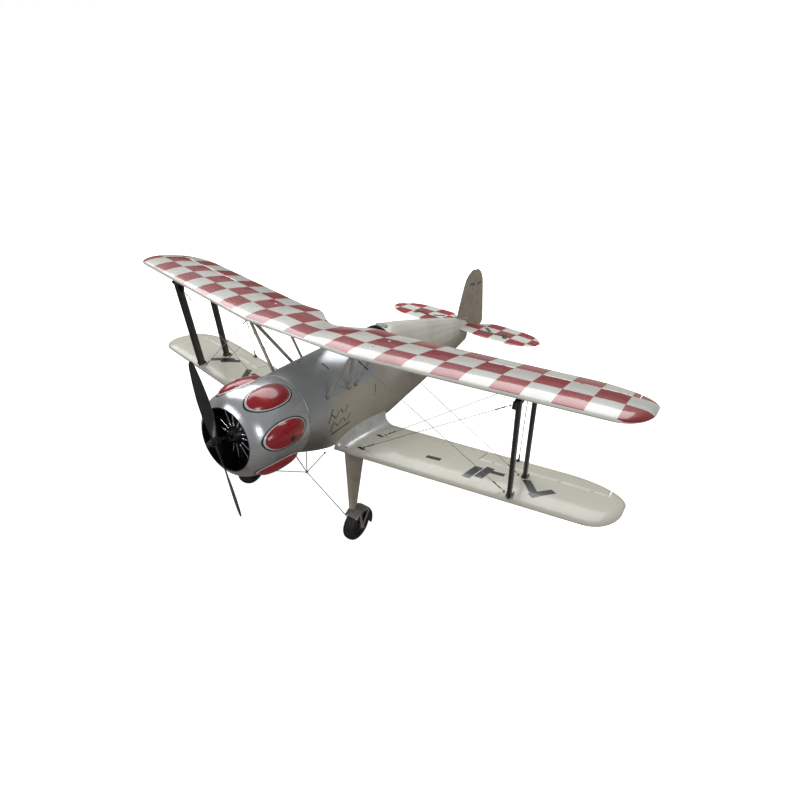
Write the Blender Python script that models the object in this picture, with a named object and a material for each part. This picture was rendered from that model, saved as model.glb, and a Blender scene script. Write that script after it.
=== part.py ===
"""Quarter-scale radio-controlled biplane, metres, +Z up, nose towards -Y, port wing towards +X."""

import math

import bmesh
import bpy
import numpy as np
from mathutils import Matrix, Vector

# ---- driving sizes (metres, body frame: origin at the cowling mouth on the thrust line) ----
GROUND_ANGLE = math.radians(14.0)
WHEEL_DROP = 0.41507
CENTRE_Y = 0.6633

COWL_LENGTH = 0.171
COWL_Z = -0.0072
COWL_MOUTH_R = 0.0762
COWL_MAX_R = 0.1125
COWL_REAR_R = 0.107
COWL_WALL = 0.0020
BLISTERS = 7
BLISTER_HEIGHT = 0.0080
BLISTER_Y = 0.0862
BLISTER_HALF_LENGTH = 0.0625
BLISTER_HALF_ANGLE = math.radians(15.8)

FUS_FRONT = 0.1725
FUS_REAR = 1.236
FUS_WALL = 0.0025
FLAT_BOTTOM_Z = -0.1310
RING_POINTS = 32

CHORD = 0.237
CAMBER = 0.015
THICKNESS = 0.095
INCIDENCE = math.radians(0.6)
HALF_SPAN = 0.8225
CENTRE_HALF = 0.165
UPPER_NOSE_Y = 0.2097
UPPER_NOSE_Z = 0.1990
UPPER_SWEEP = math.tan(math.radians(12.5))
UPPER_DIHEDRAL = 0.0073
LOWER_NOSE_Y = 0.2896
LOWER_NOSE_Z = -0.1310
LOWER_SWEEP = 0.1728
LOWER_DIHEDRAL = 0.0300
LOWER_ROOT = 0.130
BAY_IN = 0.4285
BAY_OUT = 0.7765
BAY_GAP = 0.0022
HINGE_U = 0.1660
COVE_U = 0.1585
CUTOUT_DEPTH = 0.074
CUTOUT_HALF = 0.115

STRUT_X = 0.5675
STRUT_TOP_X = 0.5615
CABANE_TOP_X = 0.1660
LINK_X = 0.5180
LINK_U = 0.2260
WIRE_R = 0.0010

WHEEL_X = 0.202
WHEEL_Y = 0.282
WHEEL_Z = -0.308
WHEEL_R = 0.048
TYRE_W = 0.0165
AXLE_R = 0.0040

TAIL_WHEEL_Y = 1.205
TAIL_WHEEL_Z = -0.1098
TAIL_WHEEL_R = 0.017
STEER_Y = 1.193

STAB_Z = 0.030
ELEV_HINGE_Y = 1.246
RUDDER_HINGE_Y = 1.264

PROP_R = 0.188
PROP_Y = -0.028
PROP_ANGLE = math.radians(115.0)

ROOT = (
    Matrix.Translation((0.0, -CENTRE_Y, WHEEL_DROP))
    @ Matrix.Rotation(-GROUND_ANGLE, 4, "X")
)

MATERIALS = {
    "silver_paint": ((0.56, 0.58, 0.61), 0.6, 0.32),
    "cream_film": ((0.72, 0.70, 0.62), 0.0, 0.30),
    "red_white_film": ((0.70, 0.35, 0.33), 0.0, 0.22),
    "black_satin": ((0.02, 0.02, 0.022), 0.0, 0.35),
    "rubber": ((0.03, 0.03, 0.032), 0.0, 0.8),
    "steel": ((0.55, 0.56, 0.58), 1.0, 0.35),
    "beige_paint": ((0.42, 0.40, 0.34), 0.0, 0.45),
    "engine_dark": ((0.06, 0.06, 0.065), 0.5, 0.45),
    "plywood": ((0.60, 0.45, 0.27), 0.0, 0.6),
    "shrink_wrap": ((0.10, 0.16, 0.42), 0.0, 0.35),
    "clear_plastic": ((0.75, 0.80, 0.83), 0.0, 0.08),
    "leather": ((0.26, 0.15, 0.07), 0.0, 0.55),
}


# ---- scene helpers ----
def clear_scene():
    """Remove every object that the new file starts with."""
    for obj in list(bpy.data.objects):
        bpy.data.objects.remove(obj, do_unlink=True)


def collection(name):
    """Return a collection of this name, linked to the scene."""
    found = bpy.data.collections.get(name)
    if found is None:
        found = bpy.data.collections.new(name)
        bpy.context.scene.collection.children.link(found)
    return found


def material(name):
    """Return the Principled material of this name."""
    found = bpy.data.materials.get(name)
    if found is None:
        colour, metallic, roughness = MATERIALS[name]
        found = bpy.data.materials.new(name)
        found.use_nodes = True
        shader = found.node_tree.nodes["Principled BSDF"]
        shader.inputs["Base Color"].default_value = (*colour, 1.0)
        shader.inputs["Metallic"].default_value = metallic
        shader.inputs["Roughness"].default_value = roughness
    return found


def add_part(name, verts, faces, finish, origin=(0.0, 0.0, 0.0), group="rc_biplane"):
    """Make one closed body from body-frame points, with its origin at a body-frame point."""
    mesh = bpy.data.meshes.new(name)
    work = bmesh.new()
    base = Vector(origin)
    points = [work.verts.new(Vector(v) - base) for v in verts]
    for face in faces:
        loop = []
        for index in face:
            if points[index] not in loop:
                loop.append(points[index])
        if len(loop) > 2:
            work.faces.new(loop)
    bmesh.ops.remove_doubles(work, verts=work.verts, dist=0.00001)
    bmesh.ops.dissolve_degenerate(work, dist=0.000001, edges=work.edges)
    bmesh.ops.recalc_face_normals(work, faces=work.faces)
    bmesh.ops.triangulate(work, faces=work.faces)
    work.to_mesh(mesh)
    work.free()
    obj = bpy.data.objects.new(name, mesh)
    obj.matrix_world = ROOT @ Matrix.Translation(base)
    mesh.materials.append(material(finish))
    collection(group).objects.link(obj)
    return obj


def add_tool(name, verts, faces):
    """Make a shape used only by a Boolean."""
    obj = add_part(name, verts, faces, "steel", group="shaping_tools")
    obj.hide_render = True
    obj.display_type = "WIRE"
    return obj


def boolean(obj, tool, operation):
    """Join a tool to a part or cut it away."""
    step = obj.modifiers.new(f"{operation.lower()}_{tool.name}", "BOOLEAN")
    step.operation = operation
    step.solver = "EXACT"
    step.object = tool


def loft(rings, close_ends=True, ring_closed=True, loop_rings=False):
    """Join rings of equal length into a surface; returns points and faces."""
    count = len(rings[0])
    verts = [tuple(p) for ring in rings for p in ring]
    faces = []
    steps = len(rings) if loop_rings else len(rings) - 1
    for i in range(steps):
        a = i * count
        b = ((i + 1) % len(rings)) * count
        last = count if ring_closed else count - 1
        for j in range(last):
            k = (j + 1) % count
            faces.append((a + j, a + k, b + k, b + j))
    if close_ends:
        faces.append(tuple(range(count)))
        faces.append(tuple(reversed(range((len(rings) - 1) * count, len(rings) * count))))
    return verts, faces


def circle(centre, radius, sides, axis="Y", phase=0.0):
    """Points of a circle round an axis through a centre."""
    points = []
    for k in range(sides):
        angle = 2.0 * math.pi * k / sides + phase
        c = radius * math.cos(angle)
        s = radius * math.sin(angle)
        if axis == "Y":
            offset = (c, 0.0, s)
        elif axis == "X":
            offset = (0.0, c, s)
        else:
            offset = (c, s, 0.0)
        points.append(tuple(np.add(centre, offset)))
    return points


def lathe(profile, sides, axis="Y", centre=(0.0, 0.0, 0.0), closed=True, phase=0.0):
    """Revolve (position, radius) pairs about an axis through a centre."""
    step = {"X": 0, "Y": 1, "Z": 2}[axis]
    rings = []
    for place, radius in profile:
        at = list(centre)
        at[step] += place
        rings.append(circle(at, radius, sides, axis, phase))
    return loft(rings, close_ends=not closed, loop_rings=closed)


def box(low, high):
    """Points and faces of a box between two corners."""
    verts = [
        (x, y, z) for z in (low[2], high[2]) for y in (low[1], high[1]) for x in (low[0], high[0])
    ]
    faces = [
        (0, 2, 3, 1), (4, 5, 7, 6), (0, 1, 5, 4), (2, 6, 7, 3), (0, 4, 6, 2), (1, 3, 7, 5),
    ]
    return verts, faces


def prism(outline, low, high, axis):
    """Extrude an outline of two-number points between two places on an axis."""
    rings = []
    for place in (low, high):
        ring = []
        for a, b in outline:
            point = {"X": (place, a, b), "Y": (a, place, b), "Z": (a, b, place)}[axis]
            ring.append(point)
        rings.append(ring)
    return loft(rings)


def smooth(value):
    """Ease from nought to one."""
    value = min(max(value, 0.0), 1.0)
    return value * value * (3.0 - 2.0 * value)


# ---- wing section ----
def half_thickness(s):
    """Half thickness of the section at a fraction of the chord, as a fraction of the chord."""
    curve = 0.2969 * math.sqrt(s) - 0.126 * s - 0.3516 * s**2 + 0.2843 * s**3 - 0.1015 * s**4
    return 5.0 * THICKNESS * curve


def camber_line(s):
    """Height of the mean line at a fraction of the chord, as a fraction of the chord."""
    if s < 0.4:
        return CAMBER * (0.8 * s - s * s) / 0.16
    return CAMBER * (0.2 + 0.8 * s - s * s) / 0.36


def tip_front(x):
    """How far the leading edge has run back at a span position."""
    t = min(max((x - 0.750) / (HALF_SPAN - 0.750), 0.0), 1.0)
    return 0.105 * (1.0 - math.sqrt(1.0 - t * t))


def tip_rear(x):
    """Distance of the trailing edge from the straight leading edge line at a span position."""
    t = min(max((x - 0.65) / (HALF_SPAN - 0.65), 0.0), 1.0)
    return CHORD - 0.098 * (1.0 - math.sqrt(1.0 - t * t))


class Wing:
    """One plane of the biplane: where its leading edge runs and how its section is placed."""

    def __init__(self, nose_y, nose_z, sweep, dihedral, straight):
        self.nose_y = nose_y
        self.nose_z = nose_z
        self.sweep = sweep
        self.dihedral = dihedral
        self.straight = straight

    def nose(self, x):
        """Leading edge point at a span position."""
        run = max(abs(x) - self.straight, 0.0)
        return self.nose_y + self.sweep * run, self.nose_z + self.dihedral * run

    def limits(self, x):
        """Front and rear of the section, from the straight leading edge line."""
        rear = tip_rear(abs(x))
        if self.straight > 0.0:
            rear -= CUTOUT_DEPTH * (1.0 - smooth(abs(x) / CUTOUT_HALF))
        return tip_front(abs(x)), rear

    def heights(self, x, u):
        """Upper and lower surface heights above the chord line at a distance aft."""
        front, rear = self.limits(x)
        s = min(max((u - front) / (rear - front), 0.0), 1.0)
        scale = (rear - front) * (0.55 + 0.45 * min((rear - front) / 0.12, 1.0))
        thick = half_thickness(s) * scale + 0.0005 * s
        mean = camber_line(s) * scale
        return mean + thick, mean - thick

    def place(self, x, u, w):
        """Body-frame point from span position, distance aft and height above the chord line."""
        y, z = self.nose(x)
        return (
            x,
            y + u * math.cos(INCIDENCE) + w * math.sin(INCIDENCE),
            z - u * math.sin(INCIDENCE) + w * math.cos(INCIDENCE),
        )

    def stations(self, x):
        """Distances aft of the points of one section, nose first."""
        front, rear = self.limits(x)
        cove = COVE_U
        if abs(x) > BAY_OUT + 0.001:
            cove = front + (rear - front) * COVE_U / CHORD
        if rear < COVE_U + 0.004:
            cove = front + (rear - front) * COVE_U / CHORD
        ahead = [front + (cove - front) * f for f in (0.0, 0.04, 0.13, 0.28, 0.5, 0.76, 1.0)]
        return ahead, [cove + (rear - cove) * 0.52, rear]

    def section(self, x):
        """Loop of points: upper trailing edge, forward to the nose, back along the underside."""
        ahead, aft = self.stations(x)
        order = [*reversed(aft), *reversed(ahead)]
        upper = [self.place(x, u, self.heights(x, u)[0]) for u in order]
        lower = [self.place(x, u, self.heights(x, u)[1]) for u in reversed(order)]
        return upper + lower[1:]

    def surface(self, x, u, side):
        """Point on the straight-sided upper (0) or lower (1) surface of the built section."""
        ahead, aft = self.stations(x)
        grid = ahead + aft
        values = [self.heights(x, g)[side] for g in grid]
        return self.place(x, u, float(np.interp(u, grid, values)))

    def slope(self, x, u, side):
        """Unit direction aft along the surface."""
        a = Vector(self.surface(x, u - 0.004, side))
        b = Vector(self.surface(x, u + 0.004, side))
        return (b - a).normalized()


UPPER = Wing(UPPER_NOSE_Y, UPPER_NOSE_Z, UPPER_SWEEP, UPPER_DIHEDRAL, CENTRE_HALF)
LOWER = Wing(LOWER_NOSE_Y, LOWER_NOSE_Z, LOWER_SWEEP, LOWER_DIHEDRAL, 0.0)

TIP_STATIONS = (BAY_OUT, 0.793, 0.808, 0.817, 0.8216)
BAY_STATIONS = (BAY_IN, 0.5675, 0.64, 0.70, 0.735, BAY_OUT)


def wing_body(name, wing, positions, finish):
    """Build a wing whose aileron bays are left open behind the cove line."""
    rings = [wing.section(x) for x in positions]
    count = len(rings[0])
    verts = [p for ring in rings for p in ring]
    top = 2
    low = count - 3
    front_loop = list(range(top, low + 1))
    aft_loop = [*range(low, count), *range(0, top + 1)]
    faces = []
    open_bay = []
    for i in range(len(positions) - 1):
        middle = abs(positions[i] + positions[i + 1]) / 2.0
        open_bay.append(BAY_IN < middle < BAY_OUT)
    for i, is_open in enumerate(open_bay):
        a = i * count
        b = a + count
        for j, k in zip(front_loop, front_loop[1:]):
            faces.append((a + j, a + k, b + k, b + j))
        if is_open:
            faces.append((a + low, a + top, b + top, b + low))
        else:
            for j, k in zip(aft_loop, aft_loop[1:]):
                faces.append((a + j, a + k, b + k, b + j))
    for i in range(1, len(open_bay)):
        if open_bay[i] != open_bay[i - 1]:
            faces.append(tuple(i * count + j for j in aft_loop))
    faces.append(tuple(range(count)))
    faces.append(tuple((len(rings) - 1) * count + j for j in range(count)))
    return add_part(name, verts, faces, finish)


def hinge_point(wing, x):
    """Point of the aileron hinge line at a span position."""
    mean = camber_line(HINGE_U / CHORD) * CHORD
    return wing.place(x, HINGE_U, mean)


def aileron(name, wing, side, finish):
    """Aileron with a round nose centred on its hinge line."""
    rings = []
    stations = [BAY_IN + BAY_GAP, 0.5675, 0.64, 0.70, 0.735, BAY_OUT - BAY_GAP]
    mean = camber_line(HINGE_U / CHORD) * CHORD
    for x in stations:
        front, rear = wing.limits(x)
        up, down = wing.heights(x, HINGE_U)
        radius = (up - down) / 2.0
        aft = HINGE_U + (rear - HINGE_U) * 0.55
        up_mid, down_mid = wing.heights(x, aft)
        up_end, down_end = wing.heights(x, rear)
        ring = [(rear, up_end), (aft, up_mid), (HINGE_U, mean + radius)]
        for angle in (135.0, 180.0, 225.0):
            a = math.radians(angle)
            ring.append((HINGE_U + radius * math.cos(a), mean + radius * math.sin(a)))
        ring += [(HINGE_U, mean - radius), (aft, down_mid), (rear, down_end)]
        rings.append([wing.place(side * x, u, w) for u, w in ring])
    verts, faces = loft(rings)
    return add_part(name, verts, faces, finish, origin=hinge_point(wing, side * 0.6))


# ---- fuselage ----
def fuselage_size(y):
    """Half width, middle height, top half height, bottom half height and exponents at y."""
    at = (0.1725, 0.21, 0.25, 0.30, 0.38, 0.475, 0.60, 0.64, 0.72, 0.84, 1.0, 1.165, 1.236)
    width = (0.103, 0.1018, 0.1005, 0.0995, 0.0985, 0.0965, 0.0895, 0.087, 0.0775, 0.066, 0.050,
             0.033, 0.026)
    top = (0.0985, 0.1065, 0.112, 0.119, 0.129, 0.136, 0.148, 0.149, 0.140, 0.123, 0.0965, 0.066,
           0.053)
    low = (-0.1115, -0.1195, -0.128, -0.1335, -0.1335, -0.1335, -0.1335, -0.127, -0.118, -0.104,
           -0.079, -0.053, -0.041)
    up_n = (2.0, 2.0, 2.0, 2.0, 2.0, 2.0, 1.9, 1.9, 1.8, 1.75, 1.7, 1.7, 1.7)
    low_n = (2.0, 2.5, 3.2, 4.5, 5.0, 5.0, 5.0, 5.0, 5.0, 5.0, 4.5, 4.0, 3.5)
    w, t, b = (float(np.interp(y, at, column)) for column in (width, top, low))
    n1, n2 = (float(np.interp(y, at, column)) for column in (up_n, low_n))
    mid = 0.0
    return w, mid, t - mid, mid - b, n1, n2


def fuselage_ring(y, inset=0.0):
    """Closed ring of section points, starting at the top and turning towards port."""
    w, mid, up, down, n1, n2 = fuselage_size(y)
    ring = []
    for k in range(RING_POINTS):
        a = 2.0 * math.pi * k / RING_POINTS
        s, c = math.sin(a), math.cos(a)
        n = n1 if c >= 0.0 else n2
        x = (w - inset) * math.copysign(abs(s) ** (2.0 / n), s)
        if abs(s) < 1e-9:
            x = 0.0
        if abs(c) < 1e-9:
            z = mid
        else:
            reach = (up if c >= 0.0 else down) - inset
            z = mid + reach * math.copysign(abs(c) ** (2.0 / n), c)
        z = max(z, FLAT_BOTTOM_Z + inset)
        ring.append((x, y, z))
    return ring


def side_x(y, z):
    """Half width of the fuselage at a height."""
    ring = [p for p in fuselage_ring(y) if p[0] > -1e-6]
    pairs = sorted((p[2], p[0]) for p in ring)
    return float(np.interp(z, [p[0] for p in pairs], [p[1] for p in pairs]))


def top_z(y, x):
    """Height of the upper skin at a distance from the middle."""
    ring = [p for p in fuselage_ring(y) if p[2] > 0.0 and p[0] > -1e-6]
    pairs = sorted((p[0], p[2]) for p in ring)
    return float(np.interp(abs(x), [p[0] for p in pairs], [p[1] for p in pairs]))


def belly_z(y, x):
    """Height of the lower skin at a distance from the middle."""
    ring = [p for p in fuselage_ring(y) if p[2] <= 0.0 and p[0] > -1e-6]
    pairs = sorted((p[0], p[2]) for p in ring)
    return float(np.interp(abs(x), [p[0] for p in pairs], [p[1] for p in pairs]))


STATIONS = (0.1725, 0.21, 0.25, 0.30, 0.38, 0.475, 0.515, 0.56, 0.60, 0.64, 0.72, 0.84, 1.0,
            1.165, 1.236)
COCKPIT_FIRST = 5
COCKPIT_LAST = 8
COCKPIT_REACH = 3


def fuselage_shell():
    """Hollow fuselage, open at the nose and at the cockpit."""
    outer = [fuselage_ring(y) for y in STATIONS]
    inner_y = [*STATIONS[:-1], STATIONS[-1] - 0.008]
    inner = [fuselage_ring(y, FUS_WALL) for y in inner_y]
    verts = [p for ring in outer + inner for p in ring]
    shift = len(outer) * RING_POINTS
    faces = []

    def is_window(i, k):
        near = k < COCKPIT_REACH or k >= RING_POINTS - COCKPIT_REACH
        return COCKPIT_FIRST <= i < COCKPIT_LAST and near

    for i in range(len(STATIONS) - 1):
        for k in range(RING_POINTS):
            m = (k + 1) % RING_POINTS
            a, b = i * RING_POINTS, (i + 1) * RING_POINTS
            if not is_window(i, k):
                faces.append((a + k, a + m, b + m, b + k))
                faces.append((shift + a + k, shift + b + k, shift + b + m, shift + a + m))
    for k in range(RING_POINTS):
        m = (k + 1) % RING_POINTS
        faces.append((k, m, shift + m, shift + k))
    for k in range(-COCKPIT_REACH, COCKPIT_REACH):
        for i in (COCKPIT_FIRST, COCKPIT_LAST):
            a = i * RING_POINTS + k % RING_POINTS
            b = i * RING_POINTS + (k + 1) % RING_POINTS
            faces.append((a, b, shift + b, shift + a))
    for i in range(COCKPIT_FIRST, COCKPIT_LAST):
        for k in (-COCKPIT_REACH, COCKPIT_REACH):
            a = i * RING_POINTS + k % RING_POINTS
            b = a + RING_POINTS
            faces.append((a, b, shift + b, shift + a))
    last = (len(STATIONS) - 1) * RING_POINTS
    faces.append(tuple(range(last, last + RING_POINTS)))
    faces.append(tuple(range(shift + last, shift + last + RING_POINTS)))
    return add_part("fuselage_shell", verts, faces, "cream_film")


# ---- nose ----
def cowl_radius(y):
    """Outer radius of the cowling at a distance behind its mouth."""
    at = (-0.002, 0.003, 0.010, 0.024, 0.050, 0.085, 0.130, COWL_LENGTH)
    radius = (COWL_MOUTH_R + 0.003, 0.0870, 0.0955, 0.1038, 0.1100, COWL_MAX_R, 0.1120, COWL_REAR_R)
    return float(np.interp(y, at, radius))


def blister(y, angle):
    """Height of the rocker blisters above the cowling at a place on it."""
    pitch = 2.0 * math.pi / BLISTERS
    off = (angle + pitch / 2.0) % pitch - pitch / 2.0
    across = off / BLISTER_HALF_ANGLE
    along = (y - BLISTER_Y) / BLISTER_HALF_LENGTH
    inside = 1.0 - across * across - abs(along) ** 2.4
    return BLISTER_HEIGHT * math.sqrt(max(inside, 0.0))


def cowling():
    """Round cowling with an open mouth and a ring of blisters."""
    sides = BLISTERS * 8
    rings = []
    for y in (-0.002, 0.003, 0.010, 0.024, 0.036, 0.050, 0.070, 0.088, 0.108, 0.128, 0.146, COWL_LENGTH):
        ring = []
        for k in range(sides):
            a = 2.0 * math.pi * k / sides
            r = cowl_radius(y) + blister(y, a + math.pi / 2.0)
            ring.append((r * math.cos(a), y, COWL_Z + r * math.sin(a)))
        rings.append(ring)
    for y, r in ((COWL_LENGTH, COWL_REAR_R - COWL_WALL), (0.085, COWL_MAX_R - COWL_WALL - 0.001),
                 (0.024, 0.1005), (0.007, 0.0840), (-0.001, COWL_MOUTH_R)):
        rings.append(circle((0.0, y, COWL_Z), r, sides))
    verts, faces = loft(rings, close_ends=False, loop_rings=True)
    return add_part("cowling", verts, faces, "silver_paint")


def dummy_engine():
    """Seven dummy cylinders round a crankcase, with a bore for the motor shaft."""
    angles = []
    for n in range(BLISTERS):
        middle = -90.0 + n * 360.0 / BLISTERS
        angles += [(middle - 14.5, 0), (middle - 9.0, 1), (middle + 9.0, 1), (middle + 14.5, 0)]
    profile = (
        (0.074, (0.034, 0.074)), (0.044, (0.034, 0.074)), (0.040, (0.031, 0.068)),
        (0.040, (0.026, 0.026)), (0.020, (0.022, 0.022)), (0.012, (0.013, 0.013)),
        (0.012, (0.0070, 0.0070)), (0.074, (0.0070, 0.0070)),
    )
    rings = []
    for y, radii in profile:
        ring = []
        for degrees, kind in angles:
            a = math.radians(degrees)
            middle = COWL_Z if radii[kind] > 0.020 else 0.0
            ring.append((radii[kind] * math.cos(a), y, middle + radii[kind] * math.sin(a)))
        rings.append(ring)
    verts, faces = loft(rings, close_ends=False, loop_rings=True)
    return add_part("dummy_engine", verts, faces, "engine_dark")


def motor_and_prop():
    """Outrunner motor, propeller and prop nut on the thrust line."""
    verts, faces = lathe(
        ((0.128, 0.0060), (0.100, 0.0060), (0.100, 0.0245), (0.132, 0.0245), (0.132, 0.0150),
         (0.1505, 0.0150), (0.1505, 0.0230), (0.1758, 0.0230), (0.1758, 0.0060)), 20)
    add_part("motor_stator", verts, faces, "steel")
    verts, faces = lathe(
        ((-0.0475, 0.0), (-0.0475, 0.0040), (0.086, 0.0040), (0.086, 0.0200), (0.090, 0.0278),
         (0.134, 0.0278), (0.134, 0.0255), (0.097, 0.0255), (0.097, 0.0)), 20, closed=False)
    add_part("motor_bell", verts, faces, "steel", origin=(0.0, 0.110, 0.0))

    rings = []
    half = ((0.0, 0.0140, 0.0085, 90.0), (0.012, 0.0150, 0.0085, 68.0), (0.030, 0.0190, 0.0070, 50.0),
            (0.060, 0.0270, 0.0050, 35.0), (0.100, 0.0300, 0.0038, 25.0),
            (0.140, 0.0260, 0.0028, 19.0), (0.172, 0.0180, 0.0020, 15.0), (PROP_R, 0.0060, 0.0012, 13.0))
    stations = [(-r, c, t, 180.0 - p) for r, c, t, p in reversed(half[1:])] + list(half)
    turn = Matrix.Rotation(-PROP_ANGLE, 3, "Y")
    for r, chord, thick, pitch in stations:
        ring = []
        for a, b in ((-0.5, 0.0), (-0.2, 0.42), (0.15, 0.5), (0.5, 0.0), (0.15, -0.5), (-0.2, -0.42)):
            c, t = a * chord, b * thick
            p = math.radians(pitch)
            y = PROP_Y - c * math.sin(p) + t * math.cos(p)
            z = c * math.cos(p) + t * math.sin(p)
            ring.append(turn @ Vector((r, y, z)))
        rings.append(ring)
    verts, faces = loft(rings)
    prop = add_part("propeller", verts, faces, "black_satin", origin=(0.0, PROP_Y, 0.0))
    verts, faces = lathe(((-0.0365, 0.0105), (-0.0205, 0.0105)), 20, closed=False, phase=0.05)
    boolean(prop, add_tool("tool_prop_hub", verts, faces), "UNION")
    verts, faces = lathe(((-0.060, 0.0044), (0.0, 0.0044)), 16, closed=False)
    boolean(prop, add_tool("tool_prop_bore", verts, faces), "DIFFERENCE")

    verts, faces = lathe(
        ((-0.0525, 0.0), (-0.0515, 0.0040), (-0.0440, 0.0085), (-0.0370, 0.0085), (-0.0370, 0.0044),
         (-0.0480, 0.0044), (-0.0480, 0.0)), 16, closed=False)
    add_part("prop_nut", verts, faces, "steel", origin=(0.0, PROP_Y, 0.0))


# ---- bars, struts and wires ----
def bar(name, start, end, section, finish, cut_start=None, cut_end=None, origin=(0.0, 0.0, 0.0),
        chord_axis=(0.0, 1.0, 0.0), build=True):
    """Straight bar whose section is given at each end, trimmed by a plane at each end."""
    a, b = Vector(start), Vector(end)
    along = (b - a).normalized()
    chordwise = Vector(chord_axis)
    chordwise = (chordwise - along * chordwise.dot(along)).normalized()
    across = along.cross(chordwise)
    first, last = section
    low, high = [], []
    for (c0, t0), (c1, t1) in zip(first, last):
        p = a + chordwise * c0 + across * t0
        q = b + chordwise * c1 + across * t1
        line = (q - p).normalized()
        if cut_start is not None:
            n = Vector(cut_start)
            p = p + line * ((a - p).dot(n) / line.dot(n))
        if cut_end is not None:
            n = Vector(cut_end)
            q = q + line * ((b - q).dot(n) / line.dot(n))
        low.append(p)
        high.append(q)
    verts, faces = loft([low, high])
    if not build:
        return verts, faces
    return add_part(name, verts, faces, finish, origin=origin)


def streamline(chord, thick):
    """Streamlined strut section, nose towards the negative chord side."""
    shape = ((-0.5, 0.0), (-0.42, 0.32), (-0.2, 0.5), (0.12, 0.40), (0.5, 0.06),
             (0.5, -0.06), (0.12, -0.40), (-0.2, -0.5), (-0.42, -0.32))
    return [(c * chord, t * thick) for c, t in shape]


def round_section(radius, sides):
    """Round bar section."""
    return [
        (radius * math.cos(2.0 * math.pi * k / sides), radius * math.sin(2.0 * math.pi * k / sides))
        for k in range(sides)
    ]


def plane_normal(wing, x, u, side):
    """Normal of the wing skin at a place, from its slopes along and across the wing."""
    aft = wing.slope(x, u, side)
    inner = Vector(wing.surface(x * 0.98, u, side))
    outer = Vector(wing.surface(x, u, side))
    return (outer - inner).normalized().cross(aft).normalized()


def interplane_struts():
    """Four struts between the wings; the front ones carry a wire bracket near the top."""
    for label, low_u, top_u, chord in (("front", 0.0185, 0.0190, 0.0240), ("rear", 0.1285, 0.1335, 0.0220)):
        for side_name, side in (("port", 1.0), ("stbd", -1.0)):
            foot = Vector(LOWER.surface(side * STRUT_X, low_u, 0)) + Vector((0.0, 0.0, 0.0012))
            head = Vector(UPPER.surface(side * STRUT_TOP_X, top_u, 1)) - Vector((0.0, 0.0, 0.0012))
            section = streamline(chord, 0.0105)
            strut = bar(f"strut_{label}_{side_name}", foot, head, (section, section), "black_satin",
                        plane_normal(LOWER, side * STRUT_X, low_u, 0),
                        plane_normal(UPPER, side * STRUT_TOP_X, top_u, 1))
            if label == "front":
                near = foot.lerp(head, 0.885) - Vector((side * 0.0175, 0.0035, 0.0))
                far = foot.lerp(head, 0.885) + Vector((0.0, 0.0035, 0.0240))
                low = (min(near.x, far.x), near.y, near.z)
                high = (max(near.x, far.x), far.y, far.z)
                verts, faces = box(low, high)
                boolean(strut, add_tool(f"tool_wire_bracket_{side_name}", verts, faces), "UNION")


def cabane_strut(side, foot_y, foot_z, top_u, chord):
    """Points and faces of one strut from a fuselage shoulder to the upper wing."""
    x = side_x(foot_y, foot_z)
    up = Vector((side * 0.93, 0.0, 0.37)).normalized()
    foot = Vector((side * x, foot_y, foot_z)) + up * 0.0012
    head = Vector(UPPER.surface(side * CABANE_TOP_X, top_u, 1)) - Vector((0.0, 0.0, 0.0010))
    section = streamline(chord, 0.0055)
    return bar("strut", foot, head, (section, section), "beige_paint", up,
               plane_normal(UPPER, side * CABANE_TOP_X, top_u, 1), build=False)


def cabane_struts():
    """Welded V struts and single rear struts from the shoulders to the upper wing centre."""
    for side_name, side in (("port", 1.0), ("stbd", -1.0)):
        verts, faces = cabane_strut(side, 0.255, 0.049, 0.0240, 0.0090)
        front = add_part(f"cabane_front_{side_name}", verts, faces, "beige_paint")
        verts, faces = cabane_strut(side, 0.345, 0.049, 0.0320, 0.0100)
        boolean(front, add_tool(f"tool_cabane_{side_name}", verts, faces), "UNION")
        verts, faces = cabane_strut(side, 0.377, 0.049, 0.1380, 0.0080)
        add_part(f"cabane_rear_{side_name}", verts, faces, "beige_paint")


def rigging_wires():
    """Flying and landing wires, just clear of everything that they run between."""
    section = round_section(WIRE_R, 6)
    plan = (
        ("flying_wire_front", LOWER, 0.155, 0.036, 0, UPPER, 0.5420, 0.0290, 1, 0.0270),
        ("flying_wire_rear", LOWER, 0.158, 0.140, 0, UPPER, 0.5440, 0.1450, 1, 0.0016),
        ("landing_wire_front", UPPER, 0.176, 0.022, 1, LOWER, 0.5500, 0.0260, 0, 0.0016),
        ("landing_wire_rear", UPPER, 0.176, 0.138, 1, LOWER, 0.5500, 0.1280, 0, 0.0016),
    )
    for label, wing_a, x_a, u_a, side_a, wing_b, x_b, u_b, side_b, clear in plan:
        for side_name, side in (("port", 1.0), ("stbd", -1.0)):
            lift_a = 0.0016 if side_a == 0 else -0.0016
            lift_b = clear if side_b == 0 else -clear
            start = Vector(wing_a.surface(side * x_a, u_a, side_a)) + Vector((0.0, 0.0, lift_a))
            end = Vector(wing_b.surface(side * x_b, u_b, side_b)) + Vector((0.0, 0.0, lift_b))
            bar(f"{label}_{side_name}", start, end, (section, section), "steel",
                (0.0, 0.0, 1.0), (0.0, 0.0, 1.0))


def link_ends(side):
    """Lower and upper ends of the rod that joins the two ailerons of one side."""
    low = Vector(LOWER.surface(side * LINK_X, LINK_U, 0)) + Vector((0.0, 0.0, 0.0042))
    high = Vector(UPPER.surface(side * LINK_X, LINK_U, 1)) - Vector((0.0, 0.0, 0.0046))
    return low, high


def aileron_links():
    """Rods that carry the lower aileron movement to the upper aileron."""
    for side_name, side in (("port", 1.0), ("stbd", -1.0)):
        low, high = link_ends(side)
        section = (round_section(0.0013, 8), round_section(0.0013, 8))
        bar(f"aileron_link_{side_name}", low - Vector((0.0, 0.0, 0.0010)), high, section,
            "black_satin", origin=low, chord_axis=(1.0, 0.0, 0.0))


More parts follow.
